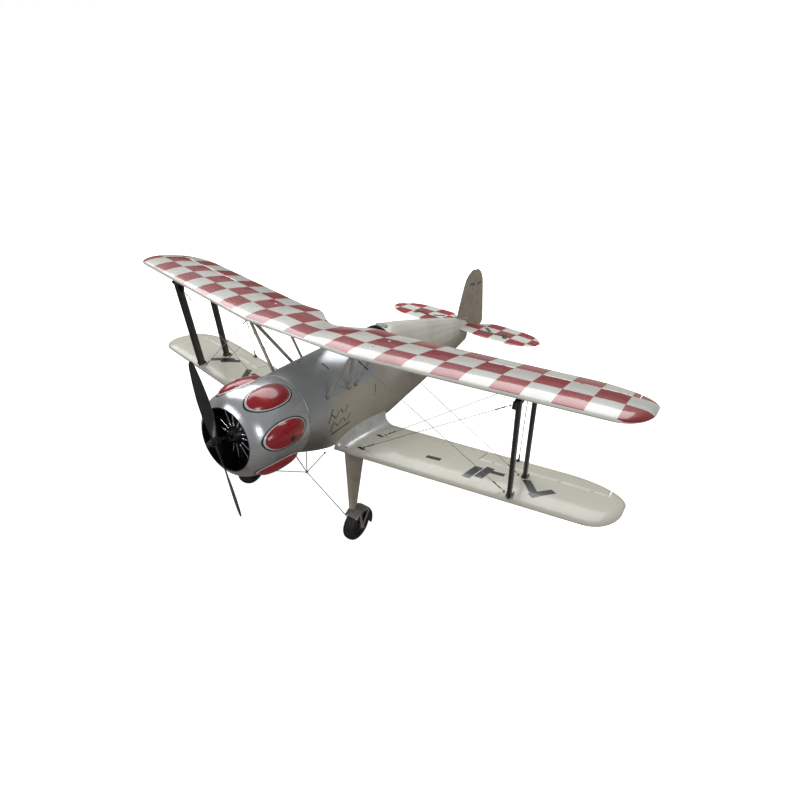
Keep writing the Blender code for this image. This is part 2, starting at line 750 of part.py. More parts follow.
# ---- undercarriage ----
def gear_legs():
    """Tapered leg fairings from the lower wing roots to the mudguards."""
    for side_name, side in (("port", 1.0), ("stbd", -1.0)):
        x, u = 0.122, 0.0
        y_top = 0.3560
        root = Vector(LOWER.surface(side * x, y_top - LOWER.nose(x)[0], 1))
        normal = plane_normal(LOWER, side * x, y_top - LOWER.nose(x)[0], 1)
        top = root - Vector((0.0, 0.0, 0.0012))
        low = Vector((side * 0.1965, 0.2655, -0.2548))
        bar(f"gear_leg_{side_name}", low, top,
            (streamline(0.0245, 0.0100), streamline(0.0820, 0.0150)), "beige_paint",
            (0.0, -0.30, 0.95), normal)


def mudguards_and_wheels():
    """Mudguard with its axle bracket, and the wheel that it carries, on each side."""
    lip = (
        (-0.0208, 0.0490), (-0.0208, 0.0532), (-0.0150, 0.0550), (0.0150, 0.0550),
        (0.0208, 0.0532), (0.0208, 0.0490), (0.0192, 0.0490), (0.0192, 0.0524),
        (0.0144, 0.0537), (-0.0144, 0.0537), (-0.0192, 0.0524), (-0.0192, 0.0490),
    )
    for side_name, side in (("port", 1.0), ("stbd", -1.0)):
        centre = Vector((side * WHEEL_X, WHEEL_Y, WHEEL_Z))
        rings = []
        for step in range(12):
            a = math.radians(52.0 + step * 13.0)
            ring = []
            for x, r in lip:
                ring.append(centre + Vector((x, -r * math.cos(a), r * math.sin(a))))
            rings.append(ring)
        verts, faces = loft(rings)
        guard = add_part(f"mudguard_{side_name}", verts, faces, "silver_paint")
        outline = (
            (-0.0060, -0.0050), (0.0, -0.0080), (0.0060, -0.0050), (0.0290, 0.0415),
            (0.0200, 0.0470), (0.0010, 0.0100), (-0.0110, 0.0500), (-0.0200, 0.0470),
        )
        points = [(WHEEL_Y + y, WHEEL_Z + z) for y, z in outline]
        for label, low, high in (("outer", 0.0187, 0.0213), ("inner", -0.0213, -0.0187)):
            middle = side * WHEEL_X
            verts, faces = prism(points, middle + side * low, middle + side * high, "X")
            tool = add_tool(f"tool_bracket_{label}_{side_name}", verts, faces)
            boolean(guard, tool, "UNION")
        verts, faces = lathe(((-0.0230, AXLE_R), (0.0260, AXLE_R)), 16, "X", centre, closed=False)
        if side < 0.0:
            verts, faces = lathe(((-0.0260, AXLE_R), (0.0230, AXLE_R)), 16, "X", centre, closed=False)
        boolean(guard, add_tool(f"tool_axle_{side_name}", verts, faces), "UNION")

        profile = [(-0.0120, 0.0046), (-0.0120, 0.0100), (-0.0060, 0.0130), (-0.0060, 0.0240),
                   (-0.0130, 0.0270), (-TYRE_W, 0.0330), (-0.0155, 0.0400), (-0.0095, 0.0460),
                   (0.0, WHEEL_R)]
        profile += [(-p, r) for p, r in reversed(profile[:-1])]
        verts, faces = lathe(profile, 28, "X", centre, phase=math.pi / 28.0)
        add_part(f"main_wheel_{side_name}", verts, faces, "rubber", origin=centre)


def undercarriage_spider():
    """Bracing rods that meet below the belly and brace both wheels."""
    node = Vector((0.0, 0.302, -0.240))
    rings = []
    for ring_z, r in ((-0.0044, 0.0015), (-0.0026, 0.0038), (0.0, 0.0046), (0.0026, 0.0038), (0.0044, 0.0015)):
        rings.append(circle((node.x, node.y, node.z + ring_z), r, 12, "Z"))
    verts, faces = loft(rings)
    spider = add_part("undercarriage_spider", verts, faces, "steel")
    feet = []
    for label, x, y in (("front", 0.038, 0.246), ("rear", 0.082, 0.272)):
        for side in (-1.0, 1.0):
            feet.append((label, side * x, y, belly_z(y, x) - 0.0022))
    for x in (-1.0, 1.0):
        feet.append(("wheel", x * (WHEEL_X - 0.0245), 0.276, -0.300))
    for label, x, y, z in feet:
        end = Vector((x, y, z))
        start = node + (end - node).normalized() * 0.0030
        section = round_section(0.0013, 6)
        hand = "port" if x > 0.0 else "stbd"
        verts, faces = bar("rod", start, end, (section, section), "steel", build=False)
        boolean(spider, add_tool(f"tool_rod_{label}_{hand}", verts, faces), "UNION")


# ---- tail ----
def fin_and_rudder():
    """Fixed fin on the rear deck and the rudder behind it."""
    levels = (0.0, 0.110, 0.150, 0.190, 0.216, 0.235, 0.2465)
    front = (1.1600, 1.1700, 1.1770, 1.1850, 1.1950, 1.2130, 1.2420)
    post = RUDDER_HINGE_Y - 0.0058
    rings = []
    for level, y0 in zip(levels, front):
        thin = 0.0042 * (1.0 - 0.55 * smooth((level - 0.20) / 0.05))
        span = post - y0
        ring = []
        for f, half in ((0.0, 0.12), (0.22, 0.75), (0.55, 1.0), (1.0, 1.0)):
            ring.append((y0 + span * f, thin * half))
        full = [(x, y) for y, x in ring] + [(-x, y) for y, x in reversed(ring)]
        points = []
        for x, y in full:
            z = level
            if level == 0.0:
                z = top_z(min(y, FUS_REAR), 0.0) + 0.0012 if y < FUS_REAR + 0.001 else 0.0545
            points.append((x, y, z))
        rings.append(points)
    verts, faces = loft(rings)
    add_part("fin", verts, faces, "beige_paint")

    levels = (-0.013, -0.006, 0.010, 0.060, 0.120, 0.170, 0.205, 0.232, 0.2460)
    rear = (1.4080, 1.4270, 1.4360, 1.4170, 1.3910, 1.3700, 1.3530, 1.3260, 1.2950)
    rings = []
    for level, y1 in zip(levels, rear):
        r = 0.0042 * (1.0 - 0.55 * smooth((level - 0.20) / 0.05))
        ring = [(0.0, RUDDER_HINGE_Y - r)]
        ring += [(r * 0.7071, RUDDER_HINGE_Y - r * 0.7071), (r, RUDDER_HINGE_Y)]
        ring += [(r * 0.62, RUDDER_HINGE_Y + (y1 - RUDDER_HINGE_Y) * 0.5), (0.0006, y1)]
        full = ring + [(-x, y) for x, y in reversed(ring[1:])]
        rings.append([(x, y, level) for x, y in full])
    verts, faces = loft(rings)
    add_part("rudder", verts, faces, "beige_paint", origin=(0.0, RUDDER_HINGE_Y, 0.11))


def stabilizer_and_elevator():
    """Fixed tailplane halves and the one-piece elevator behind them."""
    rear = ELEV_HINGE_Y - 0.0060
    for side_name, side in (("port", 1.0), ("stbd", -1.0)):
        rings = []
        plan = ((0.0, 1.1600), (0.070, 1.1440), (0.110, 1.1380), (0.180, 1.1370), (0.240, 1.1440),
                (0.285, 1.1660), (0.308, 1.1950), (0.3185, 1.2250))
        for x, y0 in plan:
            half = 0.0043 * (1.0 - 0.55 * smooth((x - 0.22) / 0.10))
            span = rear - y0
            ring = []
            for f, h in ((0.0, 0.10), (0.10, 0.65), (0.40, 1.0), (1.0, 1.0)):
                ring.append((y0 + span * f, half * h))
            full = ring + [(y, -z) for y, z in reversed(ring)]
            points = []
            for y, z in full:
                reach = x
                if x == 0.0:
                    reach = side_x(min(y, FUS_REAR), STAB_Z + z) + 0.0012
                points.append((side * reach, y, STAB_Z + z))
            rings.append(points)
        verts, faces = loft(rings)
        add_part(f"stabilizer_{side_name}", verts, faces, "red_white_film")

    plan = ((0.0215, 1.2560), (0.040, 1.2820), (0.070, 1.3200), (0.095, 1.3460), (0.150, 1.3480),
            (0.220, 1.3450), (0.262, 1.3340), (0.295, 1.3100), (0.314, 1.2780), (0.3215, 1.2540))
    half_rings = []
    for x, y1 in plan:
        r = 0.0043 * (1.0 - 0.55 * smooth((x - 0.22) / 0.10))
        depth = y1 - ELEV_HINGE_Y
        half_rings.append((x, r, depth))
    joiner = 0.0019
    stations = [(-x, r, d) for x, r, d in reversed(half_rings)]
    stations += [(-0.0210, joiner, 0.0030), (0.0210, joiner, 0.0030)]
    stations += half_rings
    rings = []
    for x, r, depth in stations:
        ring = [(depth, 0.0005), (depth * 0.5, r * 0.60), (0.0, r), (-r * 0.7071, r * 0.7071)]
        full = ring + [(-r, 0.0)] + [(y, -z) for y, z in reversed(ring)]
        rings.append([(x, ELEV_HINGE_Y + y, STAB_Z + z) for y, z in full])
    verts, faces = loft(rings)
    add_part("elevator", verts, faces, "red_white_film", origin=(0.0, ELEV_HINGE_Y, STAB_Z))


def tail_wheel():
    """Leaf spring, steering fork and small wheel under the tail."""
    rings = []
    for y, z, half in ((1.065, -0.0715, 0.0070), (1.105, -0.0700, 0.0068), (1.140, -0.0715, 0.0062),
                       (1.167, -0.0768, 0.0058), (1.2005, -0.0846, 0.0055)):
        rings.append([(-half, y, z - 0.0020), (half, y, z - 0.0020), (half, y, z), (-half, y, z)])
    verts, faces = loft(rings)
    add_part("tail_spring", verts, faces, "engine_dark")

    hub = Vector((0.0, TAIL_WHEEL_Y, TAIL_WHEEL_Z))
    verts, faces = box((-0.0115, STEER_Y - 0.0070, -0.0908), (0.0115, STEER_Y + 0.0110, -0.0884))
    fork = add_part("tail_fork", verts, faces, "steel", origin=(0.0, STEER_Y, -0.0896))
    outline = ((STEER_Y - 0.0045, -0.0891), (STEER_Y + 0.0085, -0.0891),
               (TAIL_WHEEL_Y + 0.0050, TAIL_WHEEL_Z - 0.0030), (TAIL_WHEEL_Y, TAIL_WHEEL_Z - 0.0055),
               (TAIL_WHEEL_Y - 0.0050, TAIL_WHEEL_Z - 0.0030))
    for label, low, high in (("port", 0.0082, 0.0102), ("stbd", -0.0102, -0.0082)):
        verts, faces = prism(outline, low, high, "X")
        boolean(fork, add_tool(f"tool_fork_{label}", verts, faces), "UNION")
    verts, faces = lathe(((-0.0120, 0.0019), (0.0120, 0.0019)), 12, "X", hub, closed=False)
    boolean(fork, add_tool("tool_fork_pin", verts, faces), "UNION")
    profile = ((-0.0068, 0.0023), (-0.0068, 0.0110), (-0.0055, 0.0150), (0.0, TAIL_WHEEL_R),
               (0.0055, 0.0150), (0.0068, 0.0110), (0.0068, 0.0023))
    verts, faces = lathe(profile, 20, "X", hub, phase=math.pi / 20.0)
    add_part("tail_wheel", verts, faces, "rubber", origin=hub)


# ---- lower wings, root fillets and equipment ----
def root_fillets():
    """Sheet metal fillets between the fuselage sides and the lower wing roots."""
    for side_name, side in (("port", 1.0), ("stbd", -1.0)):
        rings = []
        for t, x_nominal in ((1.0, 0.1294), (0.72, 0.1180), (0.42, 0.1080), (0.0, 0.0)):
            base = LOWER.section(LOWER_ROOT)
            ring = []
            count = len(base)
            for j, (_, y, z) in enumerate(base):
                is_upper = j <= count // 2
                y_mid = LOWER.nose(LOWER_ROOT)[0] + CHORD / 2.0
                swell = (1.0 - t) ** 2.0
                y_new = y + (y - y_mid) * 0.05 * swell
                z_new = z
                if is_upper:
                    z_new = z + 0.036 * swell * min(1.0, 0.45 + (count // 2 - j) * 0.12)
                if t == 0.0:
                    probe = min(max(z_new, -0.1140), 0.0)
                    x_new = side_x(y_new, probe) + 0.0016
                else:
                    x_new = x_nominal
                ring.append((side * x_new, y_new, z_new))
            rings.append(ring)
        verts, faces = loft(rings)
        add_part(f"root_fillet_{side_name}", verts, faces, "silver_paint")


def wings():
    """Both planes with their ailerons and aileron servos."""
    half = (0.045, 0.080, 0.115, CENTRE_HALF, 0.30, *BAY_STATIONS, *TIP_STATIONS[1:])
    positions = [-x for x in reversed(half)] + [0.0] + list(half)
    wing_body("upper_wing", UPPER, positions, "red_white_film")
    right = (LOWER_ROOT, 0.28, *BAY_STATIONS, *TIP_STATIONS[1:])
    for side_name, side in (("port", 1.0), ("stbd", -1.0)):
        body = wing_body(f"lower_wing_{side_name}", LOWER, [side * x for x in right], "cream_film")
        low = LOWER.surface(0.50, 0.105, 1)
        near, far = sorted((side * 0.488, side * 0.518))
        verts, faces = box((near, low[1] - 0.009, low[2] - 0.030), (far, low[1] + 0.009, low[2] + 0.0145))
        boolean(body, add_tool(f"tool_servo_bay_{side_name}", verts, faces), "DIFFERENCE")
        verts, faces = box((near + 0.0006, low[1] - 0.0084, low[2] - 0.0040),
                           (far - 0.0006, low[1] + 0.0084, low[2] + 0.0138))
        add_part(f"aileron_servo_{side_name}", verts, faces, "black_satin")
        aileron(f"aileron_lower_{side_name}", LOWER, side, "cream_film")
        aileron(f"aileron_upper_{side_name}", UPPER, side, "red_white_film")


def equipment():
    """Firewall, radio tray and what it carries, seat and windshield."""
    outline = [(x, z) for x, _, z in fuselage_ring(0.1762, FUS_WALL + 0.0006)]
    verts, faces = prism(outline, 0.1762, 0.1792, "Y")
    add_part("firewall", verts, faces, "plywood")
    verts, faces = box((-0.066, 0.2120, -0.0780), (0.066, 0.6000, -0.0750))
    add_part("radio_tray", verts, faces, "plywood")
    floor = -0.0746
    for name, low, high, finish in (
        ("battery", (-0.024, 0.218, floor), (0.024, 0.348, floor + 0.045), "shrink_wrap"),
        ("receiver", (-0.016, 0.360, floor), (0.016, 0.410, floor + 0.015), "black_satin"),
        ("elevator_servo", (0.008, 0.450, floor), (0.028, 0.490, floor + 0.036), "black_satin"),
        ("rudder_servo", (-0.028, 0.450, floor), (-0.008, 0.490, floor + 0.036), "black_satin"),
    ):
        verts, faces = box(low, high)
        add_part(name, verts, faces, finish)
    outline = ((0.500, -0.022), (0.596, -0.022), (0.600, 0.070), (0.588, 0.072), (0.582, -0.010),
               (0.500, -0.012))
    verts, faces = prism(outline, -0.034, 0.034, "X")
    add_part("pilot_seat", verts, faces, "leather")

    outer, inner = [], []
    for k in range(9):
        s = -1.0 + k / 4.0
        x = 0.046 * math.sin(s * 1.25) / math.sin(1.25)
        y = 0.448 + 0.022 * s * s
        low = top_z(y + 0.001, x) + 0.0022
        high = low + 0.042 * (1.0 - 0.38 * s * s)
        lean = 0.016 * (1.0 - 0.2 * s * s)
        outer.append(((x, y, low), (x, y + lean, high)))
        inner.append(((x * 0.975, y + 0.0014, low), (x * 0.975, y + 0.0014 + lean, high)))
    rings = []
    for (a, b), (c, d) in zip(outer, inner):
        rings.append([a, b, d, c])
    verts, faces = loft(rings)
    add_part("windshield", verts, faces, "clear_plastic")


def main():
    """Build every part of the aircraft."""
    clear_scene()
    cowling()
    dummy_engine()
    motor_and_prop()
    fuselage_shell()
    equipment()
    wings()
    root_fillets()
    interplane_struts()
    cabane_struts()
    rigging_wires()
    aileron_links()
    gear_legs()
    mudguards_and_wheels()
    undercarriage_spider()
    fin_and_rudder()
    stabilizer_and_elevator()
    tail_wheel()
    bpy.context.view_layer.update()


main()
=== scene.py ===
"""Finished look of a quarter-scale radio-controlled biplane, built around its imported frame.

Shapes are worked out in the body frame: origin at the cowling mouth on the thrust line, nose towards
-Y, pilot's port wing towards +X. The body frame stands tipped nose-up in the world.
"""

import logging
import math
from dataclasses import dataclass
from enum import Enum

import bmesh
import bpy
import numpy as np
from mathutils import Matrix, Vector


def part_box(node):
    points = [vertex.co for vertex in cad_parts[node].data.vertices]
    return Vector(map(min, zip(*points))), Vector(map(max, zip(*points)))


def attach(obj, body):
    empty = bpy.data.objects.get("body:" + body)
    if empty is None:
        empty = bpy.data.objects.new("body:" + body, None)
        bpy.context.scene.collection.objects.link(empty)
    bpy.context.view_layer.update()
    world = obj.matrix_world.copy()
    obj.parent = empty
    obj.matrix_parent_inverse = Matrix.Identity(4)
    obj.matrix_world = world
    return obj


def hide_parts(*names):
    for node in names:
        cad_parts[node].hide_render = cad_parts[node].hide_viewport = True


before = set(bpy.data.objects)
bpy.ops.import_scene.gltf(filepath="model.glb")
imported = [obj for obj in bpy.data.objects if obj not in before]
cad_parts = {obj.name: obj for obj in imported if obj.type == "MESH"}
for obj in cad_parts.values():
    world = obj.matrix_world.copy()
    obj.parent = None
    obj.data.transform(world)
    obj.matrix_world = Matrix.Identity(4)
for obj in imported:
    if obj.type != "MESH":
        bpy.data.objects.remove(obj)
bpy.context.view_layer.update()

LOG = logging.getLogger("biplane")

TILT = math.radians(14.0)
SHIFT = np.array((0.0, -0.6633, 0.41507))
TURN = np.array(Matrix.Rotation(-TILT, 3, "X"))

CHORD = 0.237
CAMBER = 0.015
THICKNESS = 0.095
INCIDENCE = math.radians(0.6)
HALF_SPAN = 0.8225
CUTOUT_DEPTH = 0.074
CUTOUT_HALF = 0.115
BAY_IN = 0.4285
BAY_OUT = 0.7765
BAY_GAP = 0.0022
HINGE_U = 0.1660
COVE_U = 0.1585
LOWER_ROOT = 0.130
LINK_X = 0.5180
LINK_U = 0.2260

COWL_Z = -0.0072
BLISTERS = 7
BLISTER_Y = 0.0862
BLISTER_HALF_LENGTH = 0.0625
BLISTER_HALF_ANGLE = math.radians(15.8)
BLISTER_POWER = 2.4

FUS_FRONT = 0.1725
FUS_REAR = 1.236
FLAT_BOTTOM_Z = -0.1310
COCKPIT = (0.475, 0.600, math.radians(33.75))

WHEEL = np.array((0.202, 0.282, -0.308))
TAIL_WHEEL_AT = (0.0, 1.205, -0.1098)
STAB_Z = 0.030
ELEV_HINGE_Y = 1.246
RUDDER_HINGE_Y = 1.264
PROP_R = 0.188
PROP_Y = -0.028
PROP_ANGLE = math.radians(115.0)


class Side(Enum):
    """The two hands of the aircraft, as seen by its pilot."""

    PORT = 1.0
    STBD = -1.0

    @property
    def tag(self) -> str:
        """Ending of the names of the pieces on this side."""
        return self.name.lower()


# ---- surfaces ----
@dataclass
class Surface:
    """Points in the body frame and the faces that join them."""

    points: np.ndarray
    faces: list

    def __add__(self, other: "Surface") -> "Surface":
        """Both surfaces as one."""
        shift = len(self.points)
        moved = [tuple(index + shift for index in face) for face in other.faces]
        return Surface(np.vstack([self.points, other.points]), self.faces + moved)


NOTHING = Surface(np.zeros((0, 3)), [])


def to_world(points: np.ndarray) -> np.ndarray:
    """Turn body-frame points nose-up and stand them on the ground.

    Args:
        points: Rows of x, y, z in the body frame.

    Returns:
        The same rows in the world.
    """
    return points @ TURN.T + SHIFT


def grid(points: np.ndarray, wrap_rows: bool = False, wrap_columns: bool = False,
         caps: bool = False) -> Surface:
    """Join a rows by columns array of points into quads.

    Args:
        points: Array of rows, columns and x, y, z.
        wrap_rows: Join the last row to the first.
        wrap_columns: Join the last column to the first.
        caps: Close the first and last rows with a fan round each row's mean point.

    Returns:
        The surface.
    """
    rows, columns = points.shape[:2]
    index = np.arange(rows * columns).reshape(rows, columns)
    if wrap_rows:
        index = np.vstack([index, index[:1]])
    if wrap_columns:
        index = np.hstack([index, index[:, :1]])
    quads = np.stack([index[:-1, :-1], index[:-1, 1:], index[1:, 1:], index[1:, :-1]], axis=-1)
    faces = [tuple(quad) for quad in quads.reshape(-1, 4).tolist()]
    flat = points.reshape(-1, 3)
    if caps:
        hubs = np.stack([points[0].mean(axis=0), points[-1].mean(axis=0)])
        for hub, start in ((len(flat), 0), (len(flat) + 1, (rows - 1) * columns)):
            ring = start + np.arange(columns)
            fan = np.stack([ring, np.roll(ring, -1), np.full(columns, hub)], axis=-1)
            faces += [tuple(face) for face in fan.tolist()]
        flat = np.vstack([flat, hubs])
    return Surface(flat, faces)


def rounded(at: np.ndarray, places: tuple, values: tuple, blur: float) -> np.ndarray:
    """Read a table with its corners rounded off.

    Formula: the mean of nine straight-line readings spread evenly over plus and minus the blur.

    Args:
        at: Where to read.
        places: Rising positions of the table.
        values: Values at those positions.
        blur: Half width of the averaging.

    Returns:
        The readings.
    """
    spread = np.linspace(-blur, blur, 9)[:, None]
    return np.interp(np.ravel(at)[None] + spread, places, values).mean(axis=0).reshape(np.shape(at))


def lathe(profile: tuple, sides: int = 32, axis: str = "Y", centre: tuple = (0.0, 0.0, 0.0),
          closed: bool = True) -> Surface:
    """Revolve a profile about an axis.

    Formula: each (place, radius) pair sweeps radius * (cos t, sin t) round the axis at that place.

    Args:
        profile: Pairs of place along the axis and radius.
        sides: Number of steps round.
        axis: X, Y or Z.
        centre: Point that the places are counted from.
        closed: Join the profile's end to its start; otherwise both ends are capped.

    Returns:
        The surface.
    """
    place, radius = np.array(profile, float).T
    turn = np.linspace(0.0, 2.0 * math.pi, sides, endpoint=False)
    first = radius[:, None] * np.cos(turn)
    second = radius[:, None] * np.sin(turn)
    along = np.broadcast_to(place[:, None], first.shape)
    order = {"X": (along, first, second), "Y": (first, along, second), "Z": (first, second, along)}
    points = np.stack(order[axis], axis=-1) + np.array(centre)
    return grid(points, wrap_rows=closed, wrap_columns=True, caps=not closed)


def aim(surface: Surface, start: np.ndarray, direction: np.ndarray) -> Surface:
    """Stand a surface made along +Z at a point, turned towards a direction."""
    turn = np.array(Vector((0.0, 0.0, 1.0)).rotation_difference(Vector(direction)).to_matrix())
    return Surface(surface.points @ turn.T + np.array(start), surface.faces)


def rod(start: np.ndarray, end: np.ndarray, radius: float, sides: int = 10) -> Surface:
    """Straight round rod between two points."""
    start, end = np.array(start, float), np.array(end, float)
    length = float(np.linalg.norm(end - start))
    edge = min(radius * 0.3, length * 0.2)
    profile = ((0.0, radius - edge), (edge, radius), (length - edge, radius), (length, radius - edge))
    return aim(lathe(profile, sides, "Z", closed=False), start, end - start)


def ball(centre: np.ndarray, radii: tuple, rows: int = 12, sides: int = 20) -> Surface:
    """Ellipsoid. Formula: radii * (cos v cos t, cos v sin t, sin v)."""
    rise = np.linspace(-math.pi / 2.0, math.pi / 2.0, rows)[1:-1, None]
    turn = np.linspace(0.0, 2.0 * math.pi, sides, endpoint=False)[None]
    shape = (np.cos(rise) * np.cos(turn), np.cos(rise) * np.sin(turn), np.sin(rise) + 0.0 * turn)
    points = np.stack(shape, axis=-1) * np.array(radii) + np.array(centre)
    return grid(points, wrap_columns=True, caps=True)


def block(low: tuple, high: tuple) -> Surface:
    """Closed box between two corners.

    Args:
        low: One corner.
        high: The opposite corner.

    Returns:
        The closed box.
    """
    low, high = np.minimum(low, high), np.maximum(low, high)
    corner = np.array(((0, 0), (1, 0), (1, 1), (0, 1)))
    ring = low[:2] + corner * (high - low)[:2]
    points = np.stack([np.column_stack([ring, np.full(4, z)]) for z in (low[2], high[2])])
    base = grid(points, wrap_columns=True)
    return Surface(base.points, base.faces + [(0, 1, 2, 3), (7, 6, 5, 4)])


def plate(outline: tuple, low: float, high: float, axis: str) -> Surface:
    """Flat plate: an outline carried between two places on an axis.

    Args:
        outline: Corners of the plate in its own plane, in order.
        low: Where the plate starts on the axis.
        high: Where it ends.
        axis: Axis that the plate is carried along.

    Returns:
        The closed plate.
    """
    outline = np.array(outline, float)
    rings = []
    for place in (low, high):
        columns = [outline[:, 0], outline[:, 1]]
        columns.insert("XYZ".index(axis), np.full(len(outline), place))
        rings.append(np.column_stack(columns))
    return grid(np.stack(rings), wrap_columns=True, caps=True)


def streamline(count: int = 30) -> np.ndarray:
    """Streamlined section of unit chord and thickness.

    Formula: chord place -0.5 cos t; thickness 0.46 sin t (1 + 0.45 cos t), blunt at the front.

    Args:
        count: Points round the section.

    Returns:
        Rows of chord place and thickness place.
    """
    turn = np.linspace(0.0, 2.0 * math.pi, count, endpoint=False)
    return np.column_stack([-0.5 * np.cos(turn), 0.46 * np.sin(turn) * (1.0 + 0.45 * np.cos(turn))])


def fairing(start: np.ndarray, end: np.ndarray, chords: tuple, thicks: tuple, steps: int = 14) -> Surface:
    """Streamlined bar between two points, with its chord along the body's length.

    Formula: the section is scaled by chord and thickness read evenly between the two ends.

    Args:
        start: First end.
        end: Second end.
        chords: Chord at each end.
        thicks: Thickness at each end.
        steps: Stations along the bar.

    Returns:
        The surface.
    """
    start, end = np.array(start, float), np.array(end, float)
    along = (end - start) / np.linalg.norm(end - start)
    chordwise = np.array((0.0, 1.0, 0.0)) - along * along[1]
    chordwise /= np.linalg.norm(chordwise)
    across = np.cross(along, chordwise)
    section = streamline()
    t = np.linspace(0.0, 1.0, steps)
    chord = np.interp(t, (0.0, 1.0), chords)[:, None, None]
    thick = np.interp(t, (0.0, 1.0), thicks)[:, None, None]
    centre = start + (end - start) * t[:, None]
    points = centre[:, None] + chord * section[None, :, :1] * chordwise
    points = points + thick * section[None, :, 1:] * across
    return grid(points, wrap_columns=True, caps=True)


def tube(path: np.ndarray, radius: float, sides: int = 10, closed: bool = False) -> Surface:
    """Round tube along a path.

    Formula: each ring lies in the plane square to the path, with its first spoke kept near +Z.

    Args:
        path: Rows of points.
        radius: Tube radius.
        sides: Points round the tube.
        closed: Join the path's end to its start.

    Returns:
        The surface.
    """
    if closed:
        ahead = np.roll(path, -1, axis=0) - np.roll(path, 1, axis=0)
    else:
        ahead = np.gradient(path, axis=0)
    ahead /= np.linalg.norm(ahead, axis=1)[:, None]
    guide = np.where(np.abs(ahead[:, 2:]) > 0.95, (1.0, 0.0, 0.0), (0.0, 0.0, 1.0))
    side = np.cross(guide, ahead)
    side /= np.linalg.norm(side, axis=1)[:, None]
    up = np.cross(ahead, side)
    turn = np.linspace(0.0, 2.0 * math.pi, sides, endpoint=False)[None, :, None]
    points = path[:, None] + radius * (np.cos(turn) * up[:, None] + np.sin(turn) * side[:, None])
    return grid(points, wrap_rows=closed, wrap_columns=True, caps=not closed)


def make(name: str, surface: Surface, body: str, finish: "Finish",
         replaces: tuple = (), sharp: float = 38.0, wall: float = 0.0,
         bevel: float = 0.0) -> bpy.types.Object:
    """Turn a surface into a finished piece that rides on a body.

    Args:
        name: Name of the piece.
        surface: Its shape in the body frame.
        body: CAD body that it rides on.
        finish: Finish of the piece.
        replaces: CAD nodes that it stands for.
        sharp: Angle in degrees past which an edge stays crisp.
        wall: Thickness given inwards to an open skin.
        bevel: Width of the rounding given to crisp edges.

    Returns:
        The object.
    """
    mesh = bpy.data.meshes.new(name)
    mesh.from_pydata(to_world(surface.points).tolist(), [], surface.faces)
    work = bmesh.new()
    work.from_mesh(mesh)
    bmesh.ops.remove_doubles(work, verts=work.verts, dist=1e-6)
    bmesh.ops.recalc_face_normals(work, faces=work.faces)
    work.to_mesh(mesh)
    work.free()
    mesh.polygons.foreach_set("use_smooth", np.ones(len(mesh.polygons), bool))
    mesh.set_sharp_from_angle(angle=math.radians(sharp))
    mesh.materials.append(finish.material())
    obj = bpy.data.objects.new(name, mesh)
    bpy.context.scene.collection.objects.link(obj)
    if wall > 0.0:
        shell = obj.modifiers.new("wall", "SOLIDIFY")
        shell.thickness = wall
        shell.offset = -1.0
    if bevel > 0.0:
        edge = obj.modifiers.new("edge", "BEVEL")
        edge.width = bevel
        edge.segments = 2
        edge.limit_method = "ANGLE"
        edge.harden_normals = True
    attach(obj, body)
    if replaces:
        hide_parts(*replaces)
    LOG.info("%s: %d points on %s", name, len(mesh.vertices), body)
    return obj


